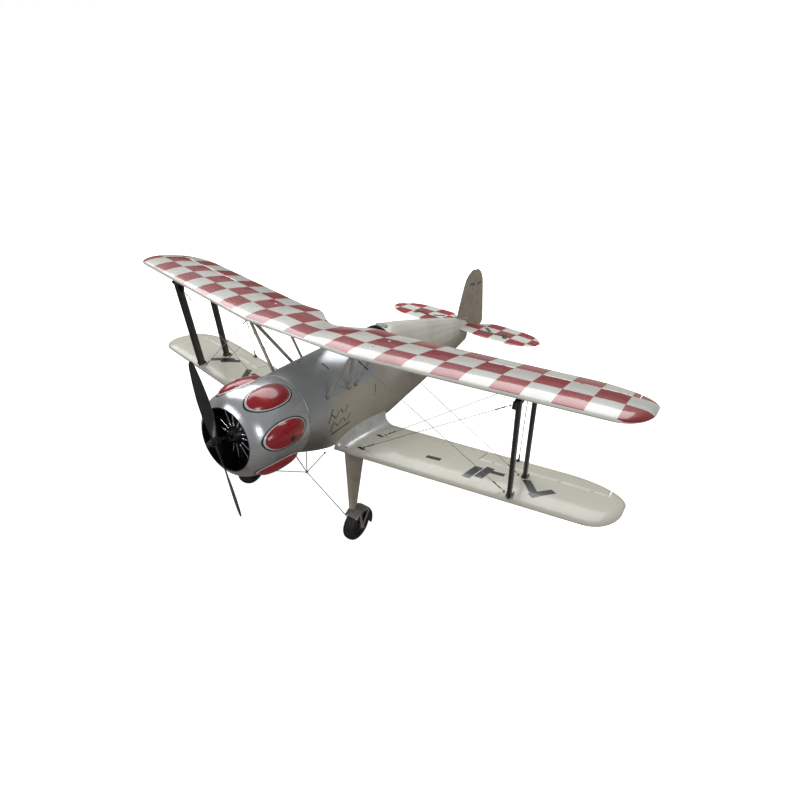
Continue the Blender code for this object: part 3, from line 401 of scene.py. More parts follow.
# ---- shader tools ----
class Graph:
    """Short ways to add and join shader nodes."""

    def __init__(self, tree: bpy.types.NodeTree) -> None:
        """Keep the tree that nodes are added to."""
        self.tree = tree

    def add(self, kind: str, **settings: object) -> bpy.types.Node:
        """Add a node and set its properties."""
        node = self.tree.nodes.new(kind)
        for key, value in settings.items():
            setattr(node, key, value)
        return node

    def put(self, socket: bpy.types.NodeSocket, value: object) -> None:
        """Link a socket, or set its own value."""
        if isinstance(value, bpy.types.NodeSocket):
            self.tree.links.new(value, socket)
        elif value is not None:
            socket.default_value = value

    def math(self, operation: str, a: object, b: object = None, c: object = None) -> bpy.types.NodeSocket:
        """Result of a Math node."""
        node = self.add("ShaderNodeMath", operation=operation)
        for socket, value in zip(node.inputs, (a, b, c)):
            self.put(socket, value)
        return node.outputs[0]

    def mix(self, factor: object, a: object, b: object) -> bpy.types.NodeSocket:
        """Colour between two colours."""
        node = self.add("ShaderNodeMix", data_type="RGBA")
        self.put(node.inputs[0], factor)
        self.put(node.inputs[6], self.colour(a))
        self.put(node.inputs[7], self.colour(b))
        return node.outputs[2]

    @staticmethod
    def colour(value: object) -> object:
        """Give a three-number colour its alpha."""
        if isinstance(value, tuple) and len(value) == 3:
            return (*value, 1.0)
        return value

    def scale(self, value: object, low: float, high: float, to_low: float = 0.0,
              to_high: float = 1.0) -> bpy.types.NodeSocket:
        """Smoothly carry a value from one range to another."""
        node = self.add("ShaderNodeMapRange", interpolation_type="SMOOTHSTEP")
        for socket, number in zip(node.inputs, (value, low, high, to_low, to_high)):
            self.put(socket, number)
        return node.outputs[0]

    def noise(self, vector: object, scale: float, detail: float = 3.0) -> bpy.types.NodeSocket:
        """Value of a noise texture."""
        node = self.add("ShaderNodeTexNoise")
        self.put(node.inputs["Vector"], vector)
        node.inputs["Scale"].default_value = scale
        node.inputs["Detail"].default_value = detail
        return node.outputs[0]

    def stretch(self, vector: object, scale: tuple) -> bpy.types.NodeSocket:
        """Vector with its parts scaled."""
        node = self.add("ShaderNodeMapping")
        self.put(node.inputs["Vector"], vector)
        node.inputs["Scale"].default_value = scale
        return node.outputs[0]

    def place(self) -> tuple:
        """Body-frame position of the surface.

        Returns:
            The position vector, then its x, y and z.
        """
        at = self.add("ShaderNodeTexCoord").outputs["Object"]
        turn = self.add("ShaderNodeMapping")
        self.put(turn.inputs["Vector"], at)
        turn.inputs["Rotation"].default_value = (TILT, 0.0, 0.0)
        turn.inputs["Location"].default_value = tuple(-SHIFT @ TURN)
        split = self.add("ShaderNodeSeparateXYZ")
        self.put(split.inputs[0], turn.outputs[0])
        return (turn.outputs[0], *split.outputs)

    def effect(self, effect: "Effect", **values: object) -> bpy.types.Node:
        """Place a shared effect with its own values."""
        node = self.add("ShaderNodeGroup", node_tree=effect.tree())
        for key, value in values.items():
            self.put(node.inputs[key.replace("_", " ").title()], value)
        return node


class Effect(Enum):
    """Shared shader effects, each built once as a node group."""

    BAR = "slanted_bar"
    MOTTLE = "mottle"
    FABRIC = "covering_texture"
    BRUSHED = "brushed_grain"
    RIVETS = "rivet_row"

    def tree(self) -> bpy.types.NodeTree:
        """The group's tree, built the first time that it is asked for."""
        found = bpy.data.node_groups.get(self.value)
        if found is None:
            found = bpy.data.node_groups.new(self.value, "ShaderNodeTree")
            getattr(self, f"_{self.name.lower()}")(found)
        return found

    @staticmethod
    def _ports(tree: bpy.types.NodeTree, inputs: tuple, outputs: tuple) -> tuple:
        """Make a group's sockets.

        Args:
            tree: The group.
            inputs: Pairs of name and starting value; a value of None makes a vector socket.
            outputs: Names of the number outputs.

        Returns:
            The graph, the input sockets and the output node.
        """
        for name, value in inputs:
            kind = "NodeSocketVector" if value is None else "NodeSocketFloat"
            socket = tree.interface.new_socket(name, in_out="INPUT", socket_type=kind)
            if value is not None:
                socket.default_value = value
        for name in outputs:
            tree.interface.new_socket(name, in_out="OUTPUT", socket_type="NodeSocketFloat")
        graph = Graph(tree)
        return graph, graph.add("NodeGroupInput").outputs, graph.add("NodeGroupOutput")

    @staticmethod
    def _bar(tree: bpy.types.NodeTree) -> None:
        """Mask of a straight bar lying at an angle, with its edge a little soft.

        Args:
            tree: Node tree of the group.
        """
        inputs = (("U", 0.0), ("V", 0.0), ("Centre U", 0.0), ("Centre V", 0.0), ("Half Length", 0.02),
                  ("Half Width", 0.004), ("Angle", 0.0), ("Soft", 0.0005))
        graph, given, out = Effect._ports(tree, inputs, ("Mask",))
        du = graph.math("SUBTRACT", given[0], given[2])
        dv = graph.math("SUBTRACT", given[1], given[3])
        cosine = graph.math("COSINE", given[6])
        sine = graph.math("SINE", given[6])
        along = graph.math("ADD", graph.math("MULTIPLY", du, cosine), graph.math("MULTIPLY", dv, sine))
        across = graph.math("SUBTRACT", graph.math("MULTIPLY", dv, cosine),
                            graph.math("MULTIPLY", du, sine))
        far = graph.math("SUBTRACT", graph.math("ABSOLUTE", along), given[4])
        wide = graph.math("SUBTRACT", graph.math("ABSOLUTE", across), given[5])
        edge = graph.math("DIVIDE", graph.math("MAXIMUM", far, wide), given[7])
        graph.put(out.inputs[0], graph.scale(edge, -1.0, 1.0, 1.0, 0.0))

    @staticmethod
    def _mottle(tree: bpy.types.NodeTree) -> None:
        """Uneven patches between nought and one, for dust, stains and tone.

        Args:
            tree: Node tree of the group.
        """
        graph, given, out = Effect._ports(tree,
                                          (("Vector", None), ("Scale", 8.0), ("Low", 0.4), ("High", 0.65)),
                                          ("Mask",))
        coarse = graph.add("ShaderNodeTexNoise")
        graph.put(coarse.inputs["Vector"], given[0])
        graph.put(coarse.inputs["Scale"], given[1])
        coarse.inputs["Detail"].default_value = 5.0
        coarse.inputs["Roughness"].default_value = 0.6
        ranged = graph.add("ShaderNodeMapRange", interpolation_type="SMOOTHSTEP")
        for socket, value in zip(ranged.inputs, (coarse.outputs[0], given[2], given[3])):
            graph.put(socket, value)
        graph.put(out.inputs[0], ranged.outputs[0])

    @staticmethod
    def _fabric(tree: bpy.types.NodeTree) -> None:
        """Fine cloth weave under a heat-shrunk film, with slow waves between the ribs.

        Args:
            tree: Node tree of the group.
        """
        graph, given, out = Effect._ports(tree, (("Vector", None), ("Weave", 0.25), ("Waves", 1.0)),
                                          ("Height",))
        split = graph.add("ShaderNodeSeparateXYZ")
        graph.put(split.inputs[0], given[0])
        threads = [graph.math("SINE", graph.math("MULTIPLY", part, 5200.0)) for part in split.outputs[:2]]
        weave = graph.math("MULTIPLY", graph.math("MULTIPLY", *threads), given[1])
        slow = graph.math("MULTIPLY", graph.noise(given[0], 14.0, 2.0), given[2])
        graph.put(out.inputs[0], graph.math("ADD", slow, graph.math("MULTIPLY", weave, 0.05)))

    @staticmethod
    def _brushed(tree: bpy.types.NodeTree) -> None:
        """Fine lines drawn out along one direction of the vector."""
        graph, given, out = Effect._ports(tree, (("Vector", None), ("Strength", 1.0)), ("Height",))
        lines = graph.noise(graph.stretch(given[0], (40.0, 900.0, 900.0)), 1.0, 4.0)
        graph.put(out.inputs[0], graph.math("MULTIPLY", lines, given[1]))

    @staticmethod
    def _rivets(tree: bpy.types.NodeTree) -> None:
        """Row of round heads: evenly spaced along U, lying where V is nought.

        Args:
            tree: Node tree of the group.
        """
        inputs = (("U", 0.0), ("V", 0.0), ("Pitch", 0.015), ("Radius", 0.0011))
        graph, given, out = Effect._ports(tree, inputs, ("Mask",))
        step = graph.math("DIVIDE", given[0], given[2])
        near = graph.math("SUBTRACT", graph.math("FRACT", step), 0.5)
        along = graph.math("MULTIPLY", near, given[2])
        squared = graph.math("ADD", graph.math("MULTIPLY", along, along),
                             graph.math("MULTIPLY", given[1], given[1]))
        ratio = graph.math("DIVIDE", graph.math("SQRT", squared), given[3])
        graph.put(out.inputs[0], graph.scale(ratio, 0.6, 1.1, 1.0, 0.0))


@dataclass(frozen=True)
class Mark:
    """Plain painted bar: its middle, half length, half width and angle in degrees."""

    u: float
    v: float
    half_length: float
    half_width: float
    angle: float = 0.0


# ---- finishes ----
@dataclass(frozen=True)
class Finish:
    """A finish: its name and the numbers that are the same all over it."""

    name: str = "plain"
    colour: tuple = (0.5, 0.5, 0.5)
    metallic: float = 0.0
    roughness: float = 0.4
    coat: float = 0.0
    coat_roughness: float = 0.05

    def material(self) -> bpy.types.Material:
        """The material, built the first time that it is asked for.

        Returns:
            The finished material.
        """
        title = f"{self.name}_finish"
        found = bpy.data.materials.get(title)
        if found is not None:
            return found
        made = bpy.data.materials.new(title)
        made.use_nodes = True
        graph = Graph(made.node_tree)
        shader = made.node_tree.nodes["Principled BSDF"]
        shader.inputs["Base Color"].default_value = (*self.colour, 1.0)
        shader.inputs["Metallic"].default_value = self.metallic
        shader.inputs["Roughness"].default_value = self.roughness
        shader.inputs["Coat Weight"].default_value = self.coat
        shader.inputs["Coat Roughness"].default_value = self.coat_roughness
        self.paint(graph, shader)
        return made

    def paint(self, graph: Graph, shader: bpy.types.Node) -> None:
        """Give the surface its slight unevenness of tone and gloss.

        Args:
            graph: Graph of the material's nodes.
            shader: The material's Principled node.
        """
        vector = graph.place()[0]
        patch = graph.effect(Effect.MOTTLE, vector=vector, scale=26.0).outputs[0]
        dull = tuple(part * 0.80 for part in self.colour)
        graph.put(shader.inputs["Base Color"], graph.mix(patch, self.colour, dull))
        self.gloss(graph, shader, patch, 0.06)
        self.bump(graph, shader, graph.noise(vector, 900.0, 2.0), 0.02)

    def gloss(self, graph: Graph, shader: bpy.types.Node, mask: object, change: float) -> None:
        """Vary the roughness over a mask."""
        value = graph.scale(mask, 0.0, 1.0, self.roughness - change, self.roughness + change)
        graph.put(shader.inputs["Roughness"], value)

    @staticmethod
    def bump(graph: Graph, shader: bpy.types.Node, height: object, strength: float,
             distance: float = 0.001) -> None:
        """Raise the surface by a height.

        Args:
            graph: Graph of the material's nodes.
            shader: The material's Principled node.
            height: Height that raises the surface.
            strength: Share of the height that is used.
            distance: Height in metres that one stands for.
        """
        node = graph.add("ShaderNodeBump")
        node.inputs["Strength"].default_value = strength
        node.inputs["Distance"].default_value = distance
        graph.put(node.inputs["Height"], height)
        graph.put(shader.inputs["Normal"], node.outputs[0])

    @staticmethod
    def marks(graph: Graph, u: object, v: object, marks: tuple) -> bpy.types.NodeSocket:
        """Mask of several bars together.

        Args:
            graph: Graph of the material's nodes.
            u: First coordinate across the surface.
            v: Second coordinate across the surface.
            marks: The bars to draw.

        Returns:
            Socket with the mask.
        """
        total = None
        for mark in marks:
            bar = graph.effect(
                Effect.BAR, u=u, v=v, centre_u=mark.u, centre_v=mark.v, half_length=mark.half_length,
                half_width=mark.half_width, angle=math.radians(mark.angle)).outputs[0]
            total = bar if total is None else graph.math("MAXIMUM", total, bar)
        return total


@dataclass(frozen=True)
class CheckedFilm(Finish):
    """Glossy film in red and white checks, for the upper wing or the tail."""

    red: tuple = (0.31, 0.006, 0.013)
    white: tuple = (0.66, 0.665, 0.62)
    under: tuple = (0.58, 0.56, 0.49)
    is_tail: bool = False

    def paint(self, graph: Graph, shader: bpy.types.Node) -> None:
        """Lay the checks along the swept leading edge, with a plain underside.

        Args:
            graph: Graph of the material's nodes.
            shader: The material's Principled node.
        """
        vector, x, y, z = graph.place()
        span = graph.math("ABSOLUTE", x)
        if self.is_tail:
            column = graph.math("FLOOR", graph.math("DIVIDE", graph.math("SUBTRACT", span, 0.020), 0.066))
            row = graph.math("FLOOR", graph.math("DIVIDE", graph.math("SUBTRACT", y, 1.136), 0.070))
            odd = graph.math("MODULO", graph.math("ABSOLUTE", graph.math("ADD", column, row)), 2.0)
            top = graph.scale(graph.math("SUBTRACT", z, STAB_Z), -0.0018, -0.0010)
            red = odd
        else:
            column = graph.math("FLOOR", graph.math("DIVIDE", graph.math("ADD", span, 0.033), 0.066))
            run = graph.math("MAXIMUM", graph.math("SUBTRACT", span, 0.165), 0.0)
            edge = graph.math("ADD", graph.math("MULTIPLY", run, math.tan(math.radians(12.5))), 0.2147)
            aft = graph.math("SUBTRACT", y, edge)
            second = graph.math("GREATER_THAN", aft, 0.076)
            third = graph.math("GREATER_THAN", aft, 0.158)
            row = graph.math("ADD", second, third)
            even = graph.math("MODULO", graph.math("ADD", graph.math("ADD", column, row), 1.0), 2.0)
            rise = graph.math("ADD", graph.math("MULTIPLY", run, 0.0073), 0.1990)
            chord_line = graph.math("SUBTRACT", rise, graph.math("MULTIPLY", aft, 0.0105))
            top = graph.scale(graph.math("SUBTRACT", z, chord_line), 0.0002, 0.0010)
            ahead = graph.scale(aft, -0.0004, 0.0004)
            red = graph.math("MULTIPLY", even, graph.math("MULTIPLY", top, ahead))
        patch = graph.effect(Effect.MOTTLE, vector=vector, scale=9.0).outputs[0]
        white = graph.mix(patch, self.white, tuple(part * 0.93 for part in self.white))
        deep = graph.mix(patch, self.red, tuple(part * 0.82 for part in self.red))
        colour = graph.mix(top, graph.mix(patch, self.under, tuple(p * 0.9 for p in self.under)), white)
        colour = graph.mix(red, colour, deep)
        if self.is_tail:
            signs = (Mark(0.150, 1.205, 0.064, 0.0085, 10.0), Mark(0.190, 1.215, 0.0090, 0.034, 24.0),
                     Mark(0.112, 1.236, 0.026, 0.0080, -48.0))
            colour = graph.mix(self.marks(graph, span, y, signs), colour, (0.02, 0.021, 0.02))
            seam = None
        else:
            # Painted reflection: thin dark lines on the film stand for reflections of the surroundings; the
            # same lines also dent the film a little as creases.
            creases = (Mark(0.430, 0.055, 0.030, 0.0005, 38.0), Mark(0.455, 0.112, 0.034, 0.0005, 14.0),
                       Mark(0.300, 0.060, 0.024, 0.0005, -30.0), Mark(0.520, 0.060, 0.026, 0.0005, 30.0),
                       Mark(0.545, 0.110, 0.026, 0.0005, 6.0), Mark(0.236, 0.110, 0.020, 0.0005, 55.0))
            line = self.marks(graph, span, aft, creases)
            faint = graph.math("MULTIPLY", line, 0.45)
            colour = graph.mix(faint, colour, (0.25, 0.26, 0.26))
            bolts = self.marks(graph, span, aft, (Mark(0.192, 0.060, 0.0022, 0.0022),
                                                  Mark(0.192, 0.072, 0.0016, 0.0016)))
            colour = graph.mix(bolts, colour, (0.02, 0.02, 0.02))
            seam = line
        graph.put(shader.inputs["Base Color"], colour)
        self.gloss(graph, shader, patch, 0.05)
        height = graph.effect(Effect.FABRIC, vector=vector, weave=0.2, waves=1.4).outputs[0]
        if seam is not None:
            height = graph.math("ADD", height, graph.math("MULTIPLY", seam, -0.5))
        self.bump(graph, shader, height, 0.22, 0.0015)


@dataclass(frozen=True)
class CreamFilm(Finish):
    """Cream film of the lower wings, with plain black marks and rib lines."""

    dull: tuple = (0.50, 0.48, 0.39)
    port: tuple = (
        Mark(0.332, 0.086, 0.0200, 0.0087, 3.0), Mark(0.447, 0.074, 0.0112, 0.0360, -6.0),
        Mark(0.474, 0.088, 0.0112, 0.0360, -6.0), Mark(0.500, 0.102, 0.0220, 0.0090, 0.0),
        Mark(0.598, 0.080, 0.0105, 0.0380, 34.0), Mark(0.632, 0.066, 0.0105, 0.0340, -40.0))
    stbd: tuple = (
        Mark(-0.402, 0.088, 0.0102, 0.0500, 36.0), Mark(-0.374, 0.118, 0.0250, 0.0090, 8.0),
        Mark(-0.548, 0.096, 0.0105, 0.0440, -30.0), Mark(-0.522, 0.110, 0.0105, 0.0360, -30.0))

    def paint(self, graph: Graph, shader: bpy.types.Node) -> None:
        """Cream film with rib lines, hinge tape and the marks on the upper side.

        Args:
            graph: Graph of the material's nodes.
            shader: The material's Principled node.
        """
        vector, x, y, z = graph.place()
        span = graph.math("ABSOLUTE", x)
        edge = graph.math("ADD", graph.math("MULTIPLY", span, 0.1728), 0.2896)
        aft = graph.math("SUBTRACT", y, edge)
        chord_line = graph.math("ADD", graph.math("MULTIPLY", span, 0.03), -0.1310)
        top = graph.scale(graph.math("SUBTRACT", z, chord_line), 0.0005, 0.0020)
        patch = graph.effect(Effect.MOTTLE, vector=vector, scale=6.0).outputs[0]
        film = graph.mix(patch, self.colour, tuple(part * 0.93 for part in self.colour))
        colour = graph.mix(top, self.dull, film)
        rib = graph.math("ABSOLUTE", graph.math("SUBTRACT", graph.math("FRACT", graph.math(
            "DIVIDE", span, 0.058)), 0.5))
        ridge = graph.scale(rib, 0.0, 0.035, 1.0, 0.0)
        colour = graph.mix(graph.math("MULTIPLY", ridge, 0.16), colour, (0.80, 0.79, 0.73))
        hinge = graph.scale(graph.math("ABSOLUTE", graph.math("SUBTRACT", aft, 0.1560)), 0.0014, 0.0030, 1.0,
                            0.0)
        inside = graph.math("MULTIPLY", graph.math("GREATER_THAN", span, BAY_IN),
                            graph.math("LESS_THAN", span, BAY_OUT))
        tape = graph.math("MULTIPLY", graph.math("MULTIPLY", hinge, inside), 0.6)
        colour = graph.mix(tape, colour, (0.85, 0.85, 0.80))
        sign = graph.math("MULTIPLY", self.marks(graph, x, aft, self.port + self.stbd), top)
        colour = graph.mix(sign, colour, (0.010, 0.011, 0.011))
        graph.put(shader.inputs["Base Color"], colour)
        self.gloss(graph, shader, patch, 0.05)
        height = graph.effect(Effect.FABRIC, vector=vector, weave=0.25, waves=1.1).outputs[0]
        height = graph.math("ADD", height, graph.math("MULTIPLY", ridge, 0.35))
        self.bump(graph, shader, height, 0.25, 0.0015)


@dataclass(frozen=True)
class FuselagePaint(Finish):
    """Silver nose and top deck fading to cream fabric, with the lower sides darkened towards a brownish grey
    as painted shade and a painted warm floor reflection.
    """

    silver: tuple = (0.46, 0.49, 0.53)
    shaded_taupe: tuple = (0.35, 0.305, 0.245)
    cream: tuple = (0.64, 0.625, 0.55)

    def paint(self, graph: Graph, shader: bpy.types.Node) -> None:
        """Blend the three colours by place, and draw the seams, slots and rivets.

        Args:
            graph: Graph of the material's nodes.
            shader: The material's Principled node.
        """
        vector, x, y, z = graph.place()
        side = graph.math("ABSOLUTE", x)
        patch = graph.effect(Effect.MOTTLE, vector=vector, scale=7.0).outputs[0]
        aft = graph.scale(y, 0.235, 0.315)
        deck = graph.scale(graph.math("SUBTRACT", z, graph.math("MULTIPLY", y, 0.02)), 0.036, 0.040)
        front_deck = graph.math("MULTIPLY", deck, graph.scale(y, 0.472, 0.476, 1.0, 0.0))
        bare = graph.math("MAXIMUM", graph.math("SUBTRACT", 1.0, aft), front_deck)
        high = graph.scale(z, -0.02, 0.05)
        turtle = graph.math("MULTIPLY", high, graph.scale(y, 0.49, 0.60))
        # Painted shade: the cloth darkens towards a brownish grey lower down, standing for shade and a warm
        # floor reflection.
        tone = graph.scale(z, -0.12, 0.03)
        cloth = graph.mix(tone, self.shaded_taupe, (0.43, 0.40, 0.34))
        cloth = graph.mix(turtle, cloth, self.cream)
        # Painted shade: the bare metal darkens to a warm near-black lower down, for the same shade and floor
        # reflection.
        metal = graph.mix(graph.scale(z, -0.09, 0.06), (0.20, 0.18, 0.155), self.silver)
        colour = graph.mix(bare, cloth, metal)
        colour = graph.mix(graph.math("MULTIPLY", patch, 0.22), colour, (0.20, 0.19, 0.17))
        seams = graph.math("MAXIMUM", graph.scale(graph.math("ABSOLUTE", graph.math("SUBTRACT", y, 0.476)),
                                                  0.0006, 0.0012, 1.0, 0.0),
                           graph.scale(graph.math("ABSOLUTE", graph.math("SUBTRACT", y, 0.292)),
                                       0.0005, 0.0010, 1.0, 0.0))
        colour = graph.mix(graph.math("MULTIPLY", seams, 0.12), colour, (0.08, 0.08, 0.08))
        # Painted shade: the slots and louvres are near-black marks that stand for the shaded inside of
        # openings.
        slots = self.marks(graph, y, z,
                           (Mark(0.470, 0.012, 0.0018, 0.0130), Mark(0.470, -0.008, 0.0022, 0.0022)))
        louvres = self.marks(graph, x, y, (Mark(0.040, 0.300, 0.0105, 0.0022, 12.0),
                                           Mark(-0.018, 0.262, 0.0028, 0.0028)))
        louvres = graph.math("MULTIPLY", louvres, graph.scale(z, 0.03, 0.05))
        dark = graph.math("MAXIMUM", slots, louvres)
        flourish = self.marks(graph, y, z, (
            Mark(0.262, -0.004, 0.0201, 0.0022, 70.0), Mark(0.276, -0.010, 0.0131, 0.0018, -40.0),
            Mark(0.293, -0.007, 0.0105, 0.0018, 55.0), Mark(0.311, -0.005, 0.0105, 0.0018, -50.0),
            Mark(0.329, -0.004, 0.0114, 0.0018, 60.0), Mark(0.272, -0.039, 0.0149, 0.0020, 65.0),
            Mark(0.290, -0.039, 0.0096, 0.0018, -45.0), Mark(0.307, -0.037, 0.0105, 0.0018, 50.0),
            Mark(0.325, -0.036, 0.0096, 0.0018, -55.0), Mark(0.344, -0.034, 0.0114, 0.0018, 50.0),
            Mark(0.311, -0.058, 0.0420, 0.0024, 6.0)))
        flourish = graph.math("MULTIPLY", flourish, graph.math("GREATER_THAN", x, 0.0))
        dark = graph.math("MAXIMUM", dark, flourish)
        # Near-black for the painted shade in the openings and for the printed flourish.
        colour = graph.mix(dark, colour, (0.015, 0.015, 0.015))
        graph.put(shader.inputs["Base Color"], colour)
        graph.put(shader.inputs["Metallic"], graph.math("MULTIPLY", bare, 0.55))
        self.gloss(graph, shader, patch, 0.06)
        ring = graph.math("SUBTRACT", y, 0.1800)
        heads = graph.effect(Effect.RIVETS, u=graph.math("ADD", z, side), v=ring, pitch=0.016,
                             radius=0.0012).outputs[0]
        height = graph.effect(Effect.FABRIC, vector=vector, weave=0.2, waves=0.8).outputs[0]
        height = graph.math("ADD", height, graph.math("MULTIPLY", graph.math("ADD", seams, dark), -0.6))
        height = graph.math("ADD", height, graph.math("MULTIPLY", heads, 0.5))
        self.bump(graph, shader, height, 0.22, 0.0012)


@dataclass(frozen=True)
class CowlPaint(Finish):
    """Pearl silver with red blisters, each ringed in white and dark green, and darkened towards the lower
    port side as painted shade.
    """

    red: tuple = (0.33, 0.004, 0.012)
    ring: tuple = (0.62, 0.60, 0.58)
    line: tuple = (0.012, 0.030, 0.028)
    # Painted shade: the colour the silver darkens to on the lower port side.
    shade: tuple = (0.36, 0.35, 0.35)

    def paint(self, graph: Graph, shader: bpy.types.Node) -> None:
        """Colour by the same rounded ellipse that raises the blisters.

        Args:
            graph: Graph of the material's nodes.
            shader: The material's Principled node.
        """
        vector, x, y, z = graph.place()
        pitch = 2.0 * math.pi / BLISTERS
        turn = graph.math("ARCTAN2", graph.math("SUBTRACT", z, COWL_Z), x)
        step = graph.math("DIVIDE", graph.math("ADD", turn, 2.5 * math.pi + pitch / 2.0), pitch)
        off = graph.math("MULTIPLY", graph.math("SUBTRACT", graph.math("FRACT", step), 0.5),
                         pitch / BLISTER_HALF_ANGLE)
        along = graph.math("DIVIDE", graph.math("SUBTRACT", y, BLISTER_Y), BLISTER_HALF_LENGTH)
        q = graph.math("ADD", graph.math("MULTIPLY", off, off),
                       graph.math("POWER", graph.math("ABSOLUTE", along), BLISTER_POWER))
        patch = graph.effect(Effect.MOTTLE, vector=vector, scale=12.0).outputs[0]
        # Painted shade: darker towards the bottom and towards port.
        low = graph.scale(graph.math("ADD", z, graph.math("MULTIPLY", x, -0.25)), -0.10, 0.02)
        silver = graph.mix(low, self.shade, self.colour)
        silver = graph.mix(graph.math("MULTIPLY", patch, 0.35), silver, (0.40, 0.42, 0.46))
        colour = graph.mix(graph.scale(q, 1.34, 1.37), self.line, silver)
        colour = graph.mix(graph.scale(q, 1.15, 1.17), self.ring, colour)
        is_red = graph.scale(q, 0.985, 1.005, 1.0, 0.0)
        colour = graph.mix(is_red, colour, graph.mix(patch, self.red, (0.26, 0.004, 0.012)))
        # Painted shade: a near-black disc stands for the shaded inside of a hole in the cowling.
        hole_u = graph.math("MULTIPLY", graph.math("SUBTRACT", turn, math.radians(6.7)), 0.115)
        hole_v = graph.math("SUBTRACT", y, 0.0935)
        reach = graph.math("SQRT", graph.math("ADD", graph.math("MULTIPLY", hole_u, hole_u),
                                              graph.math("MULTIPLY", hole_v, hole_v)))
        colour = graph.mix(graph.scale(reach, 0.0078, 0.0086, 1.0, 0.0), colour, (0.004, 0.004, 0.004))
        graph.put(shader.inputs["Base Color"], colour)
        metal = graph.math("MULTIPLY", graph.scale(q, 1.0, 1.4), 0.60)
        graph.put(shader.inputs["Metallic"], metal)
        self.gloss(graph, shader, patch, 0.04)
        self.bump(graph, shader, graph.noise(vector, 700.0, 2.0), 0.02)


@dataclass(frozen=True)
class FinPaint(Finish):
    """Warm grey fabric of the fin and rudder, with two plain bars and faint rings."""

    def paint(self, graph: Graph, shader: bpy.types.Node) -> None:
        """Mottled grey-beige, with the bars and the rings drawn over it.

        Args:
            graph: Graph of the material's nodes.
            shader: The material's Principled node.
        """
        vector, _, y, z = graph.place()
        patch = graph.effect(Effect.MOTTLE, vector=vector, scale=18.0).outputs[0]
        colour = graph.mix(patch, self.colour, tuple(part * 0.86 for part in self.colour))
        bars = self.marks(graph, y, z,
                          (Mark(1.252, 0.190, 0.0230, 0.0045, -4.0), Mark(1.322, 0.186, 0.0200, 0.0045, 6.0)))
        colour = graph.mix(graph.math("MULTIPLY", bars, 0.75), colour, (0.05, 0.04, 0.035))
        for centre, radius in ((1.225, 0.022), (1.298, 0.024), (1.360, 0.020)):
            dy = graph.math("SUBTRACT", y, centre)
            dz = graph.math("SUBTRACT", z, 0.120)
            away = graph.math("SQRT", graph.math("ADD", graph.math("MULTIPLY", dy, dy),
                                                 graph.math("MULTIPLY", graph.math("MULTIPLY", dz, dz),
                                                            0.55)))
            ring = graph.scale(graph.math("ABSOLUTE", graph.math("SUBTRACT", away, radius)), 0.0014, 0.0026,
                               0.30, 0.0)
            colour = graph.mix(ring, colour, (0.10, 0.085, 0.07))
        graph.put(shader.inputs["Base Color"], colour)
        self.gloss(graph, shader, patch, 0.05)
        height = graph.effect(Effect.FABRIC, vector=vector, weave=0.3, waves=1.2).outputs[0]
        self.bump(graph, shader, height, 0.2, 0.0012)


@dataclass(frozen=True)
class BrushedMetal(Finish):
    """Bare metal with drawn lines and a little dirt."""

    strength: float = 0.25

    def paint(self, graph: Graph, shader: bpy.types.Node) -> None:
        """Drawn lines in the height, and dirt in the colour.

        Args:
            graph: Graph of the material's nodes.
            shader: The material's Principled node.
        """
        vector = graph.place()[0]
        patch = graph.effect(Effect.MOTTLE, vector=vector, scale=40.0, low=0.5, high=0.75).outputs[0]
        graph.put(shader.inputs["Base Color"],
                  graph.mix(patch, self.colour, tuple(part * 0.55 for part in self.colour)))
        self.gloss(graph, shader, patch, 0.10)
        lines = graph.effect(Effect.BRUSHED, vector=vector, strength=1.0).outputs[0]
        self.bump(graph, shader, lines, self.strength, 0.0004)


@dataclass(frozen=True)
class Rubber(Finish):
    """Tyre rubber, paler where the tread has scuffed."""

    def paint(self, graph: Graph, shader: bpy.types.Node) -> None:
        """Scuffs and a fine grain."""
        vector = graph.place()[0]
        scuff = graph.effect(Effect.MOTTLE, vector=vector, scale=60.0, low=0.5, high=0.8).outputs[0]
        graph.put(shader.inputs["Base Color"], graph.mix(scuff, self.colour, (0.075, 0.072, 0.068)))
        self.gloss(graph, shader, scuff, 0.08)
        self.bump(graph, shader, graph.noise(vector, 1500.0, 3.0), 0.25, 0.0004)


@dataclass(frozen=True)
class Wood(Finish):
    """Birch plywood with long grain."""

    def paint(self, graph: Graph, shader: bpy.types.Node) -> None:
        """Grain from noise drawn out along the body.

        Args:
            graph: Graph of the material's nodes.
            shader: The material's Principled node.
        """
        vector = graph.place()[0]
        grain = graph.noise(graph.stretch(vector, (160.0, 9.0, 160.0)), 1.0, 6.0)
        graph.put(shader.inputs["Base Color"],
                  graph.mix(grain, self.colour, tuple(p * 0.6 for p in self.colour)))
        self.gloss(graph, shader, grain, 0.06)
        self.bump(graph, shader, grain, 0.2, 0.0004)


@dataclass(frozen=True)
class Hide(Finish):
    """Brown leather with a pebbled grain."""

    def paint(self, graph: Graph, shader: bpy.types.Node) -> None:
        """Pebbles from cell distance, darker in the creases.

        Args:
            graph: Graph of the material's nodes.
            shader: The material's Principled node.
        """
        vector = graph.place()[0]
        cells = graph.add("ShaderNodeTexVoronoi")
        graph.put(cells.inputs["Vector"], vector)
        cells.inputs["Scale"].default_value = 420.0
        pebble = graph.scale(cells.outputs["Distance"], 0.0, 0.7)
        graph.put(shader.inputs["Base Color"],
                  graph.mix(pebble, self.colour, tuple(p * 0.5 for p in self.colour)))
        self.gloss(graph, shader, pebble, 0.08)
        self.bump(graph, shader, pebble, -0.35, 0.0006)


@dataclass(frozen=True)
class ClearSheet(Finish):
    """Thin clear acrylic with light scratches."""

    def paint(self, graph: Graph, shader: bpy.types.Node) -> None:
        """Mostly see-through, with scratches that catch the light."""
        vector = graph.place()[0]
        shader.inputs["IOR"].default_value = 1.49
        scratch = graph.effect(Effect.BRUSHED, vector=vector, strength=1.0).outputs[0]
        graph.put(shader.inputs["Alpha"], graph.scale(scratch, 0.45, 0.75, 0.22, 0.40))
        self.gloss(graph, shader, scratch, 0.03)


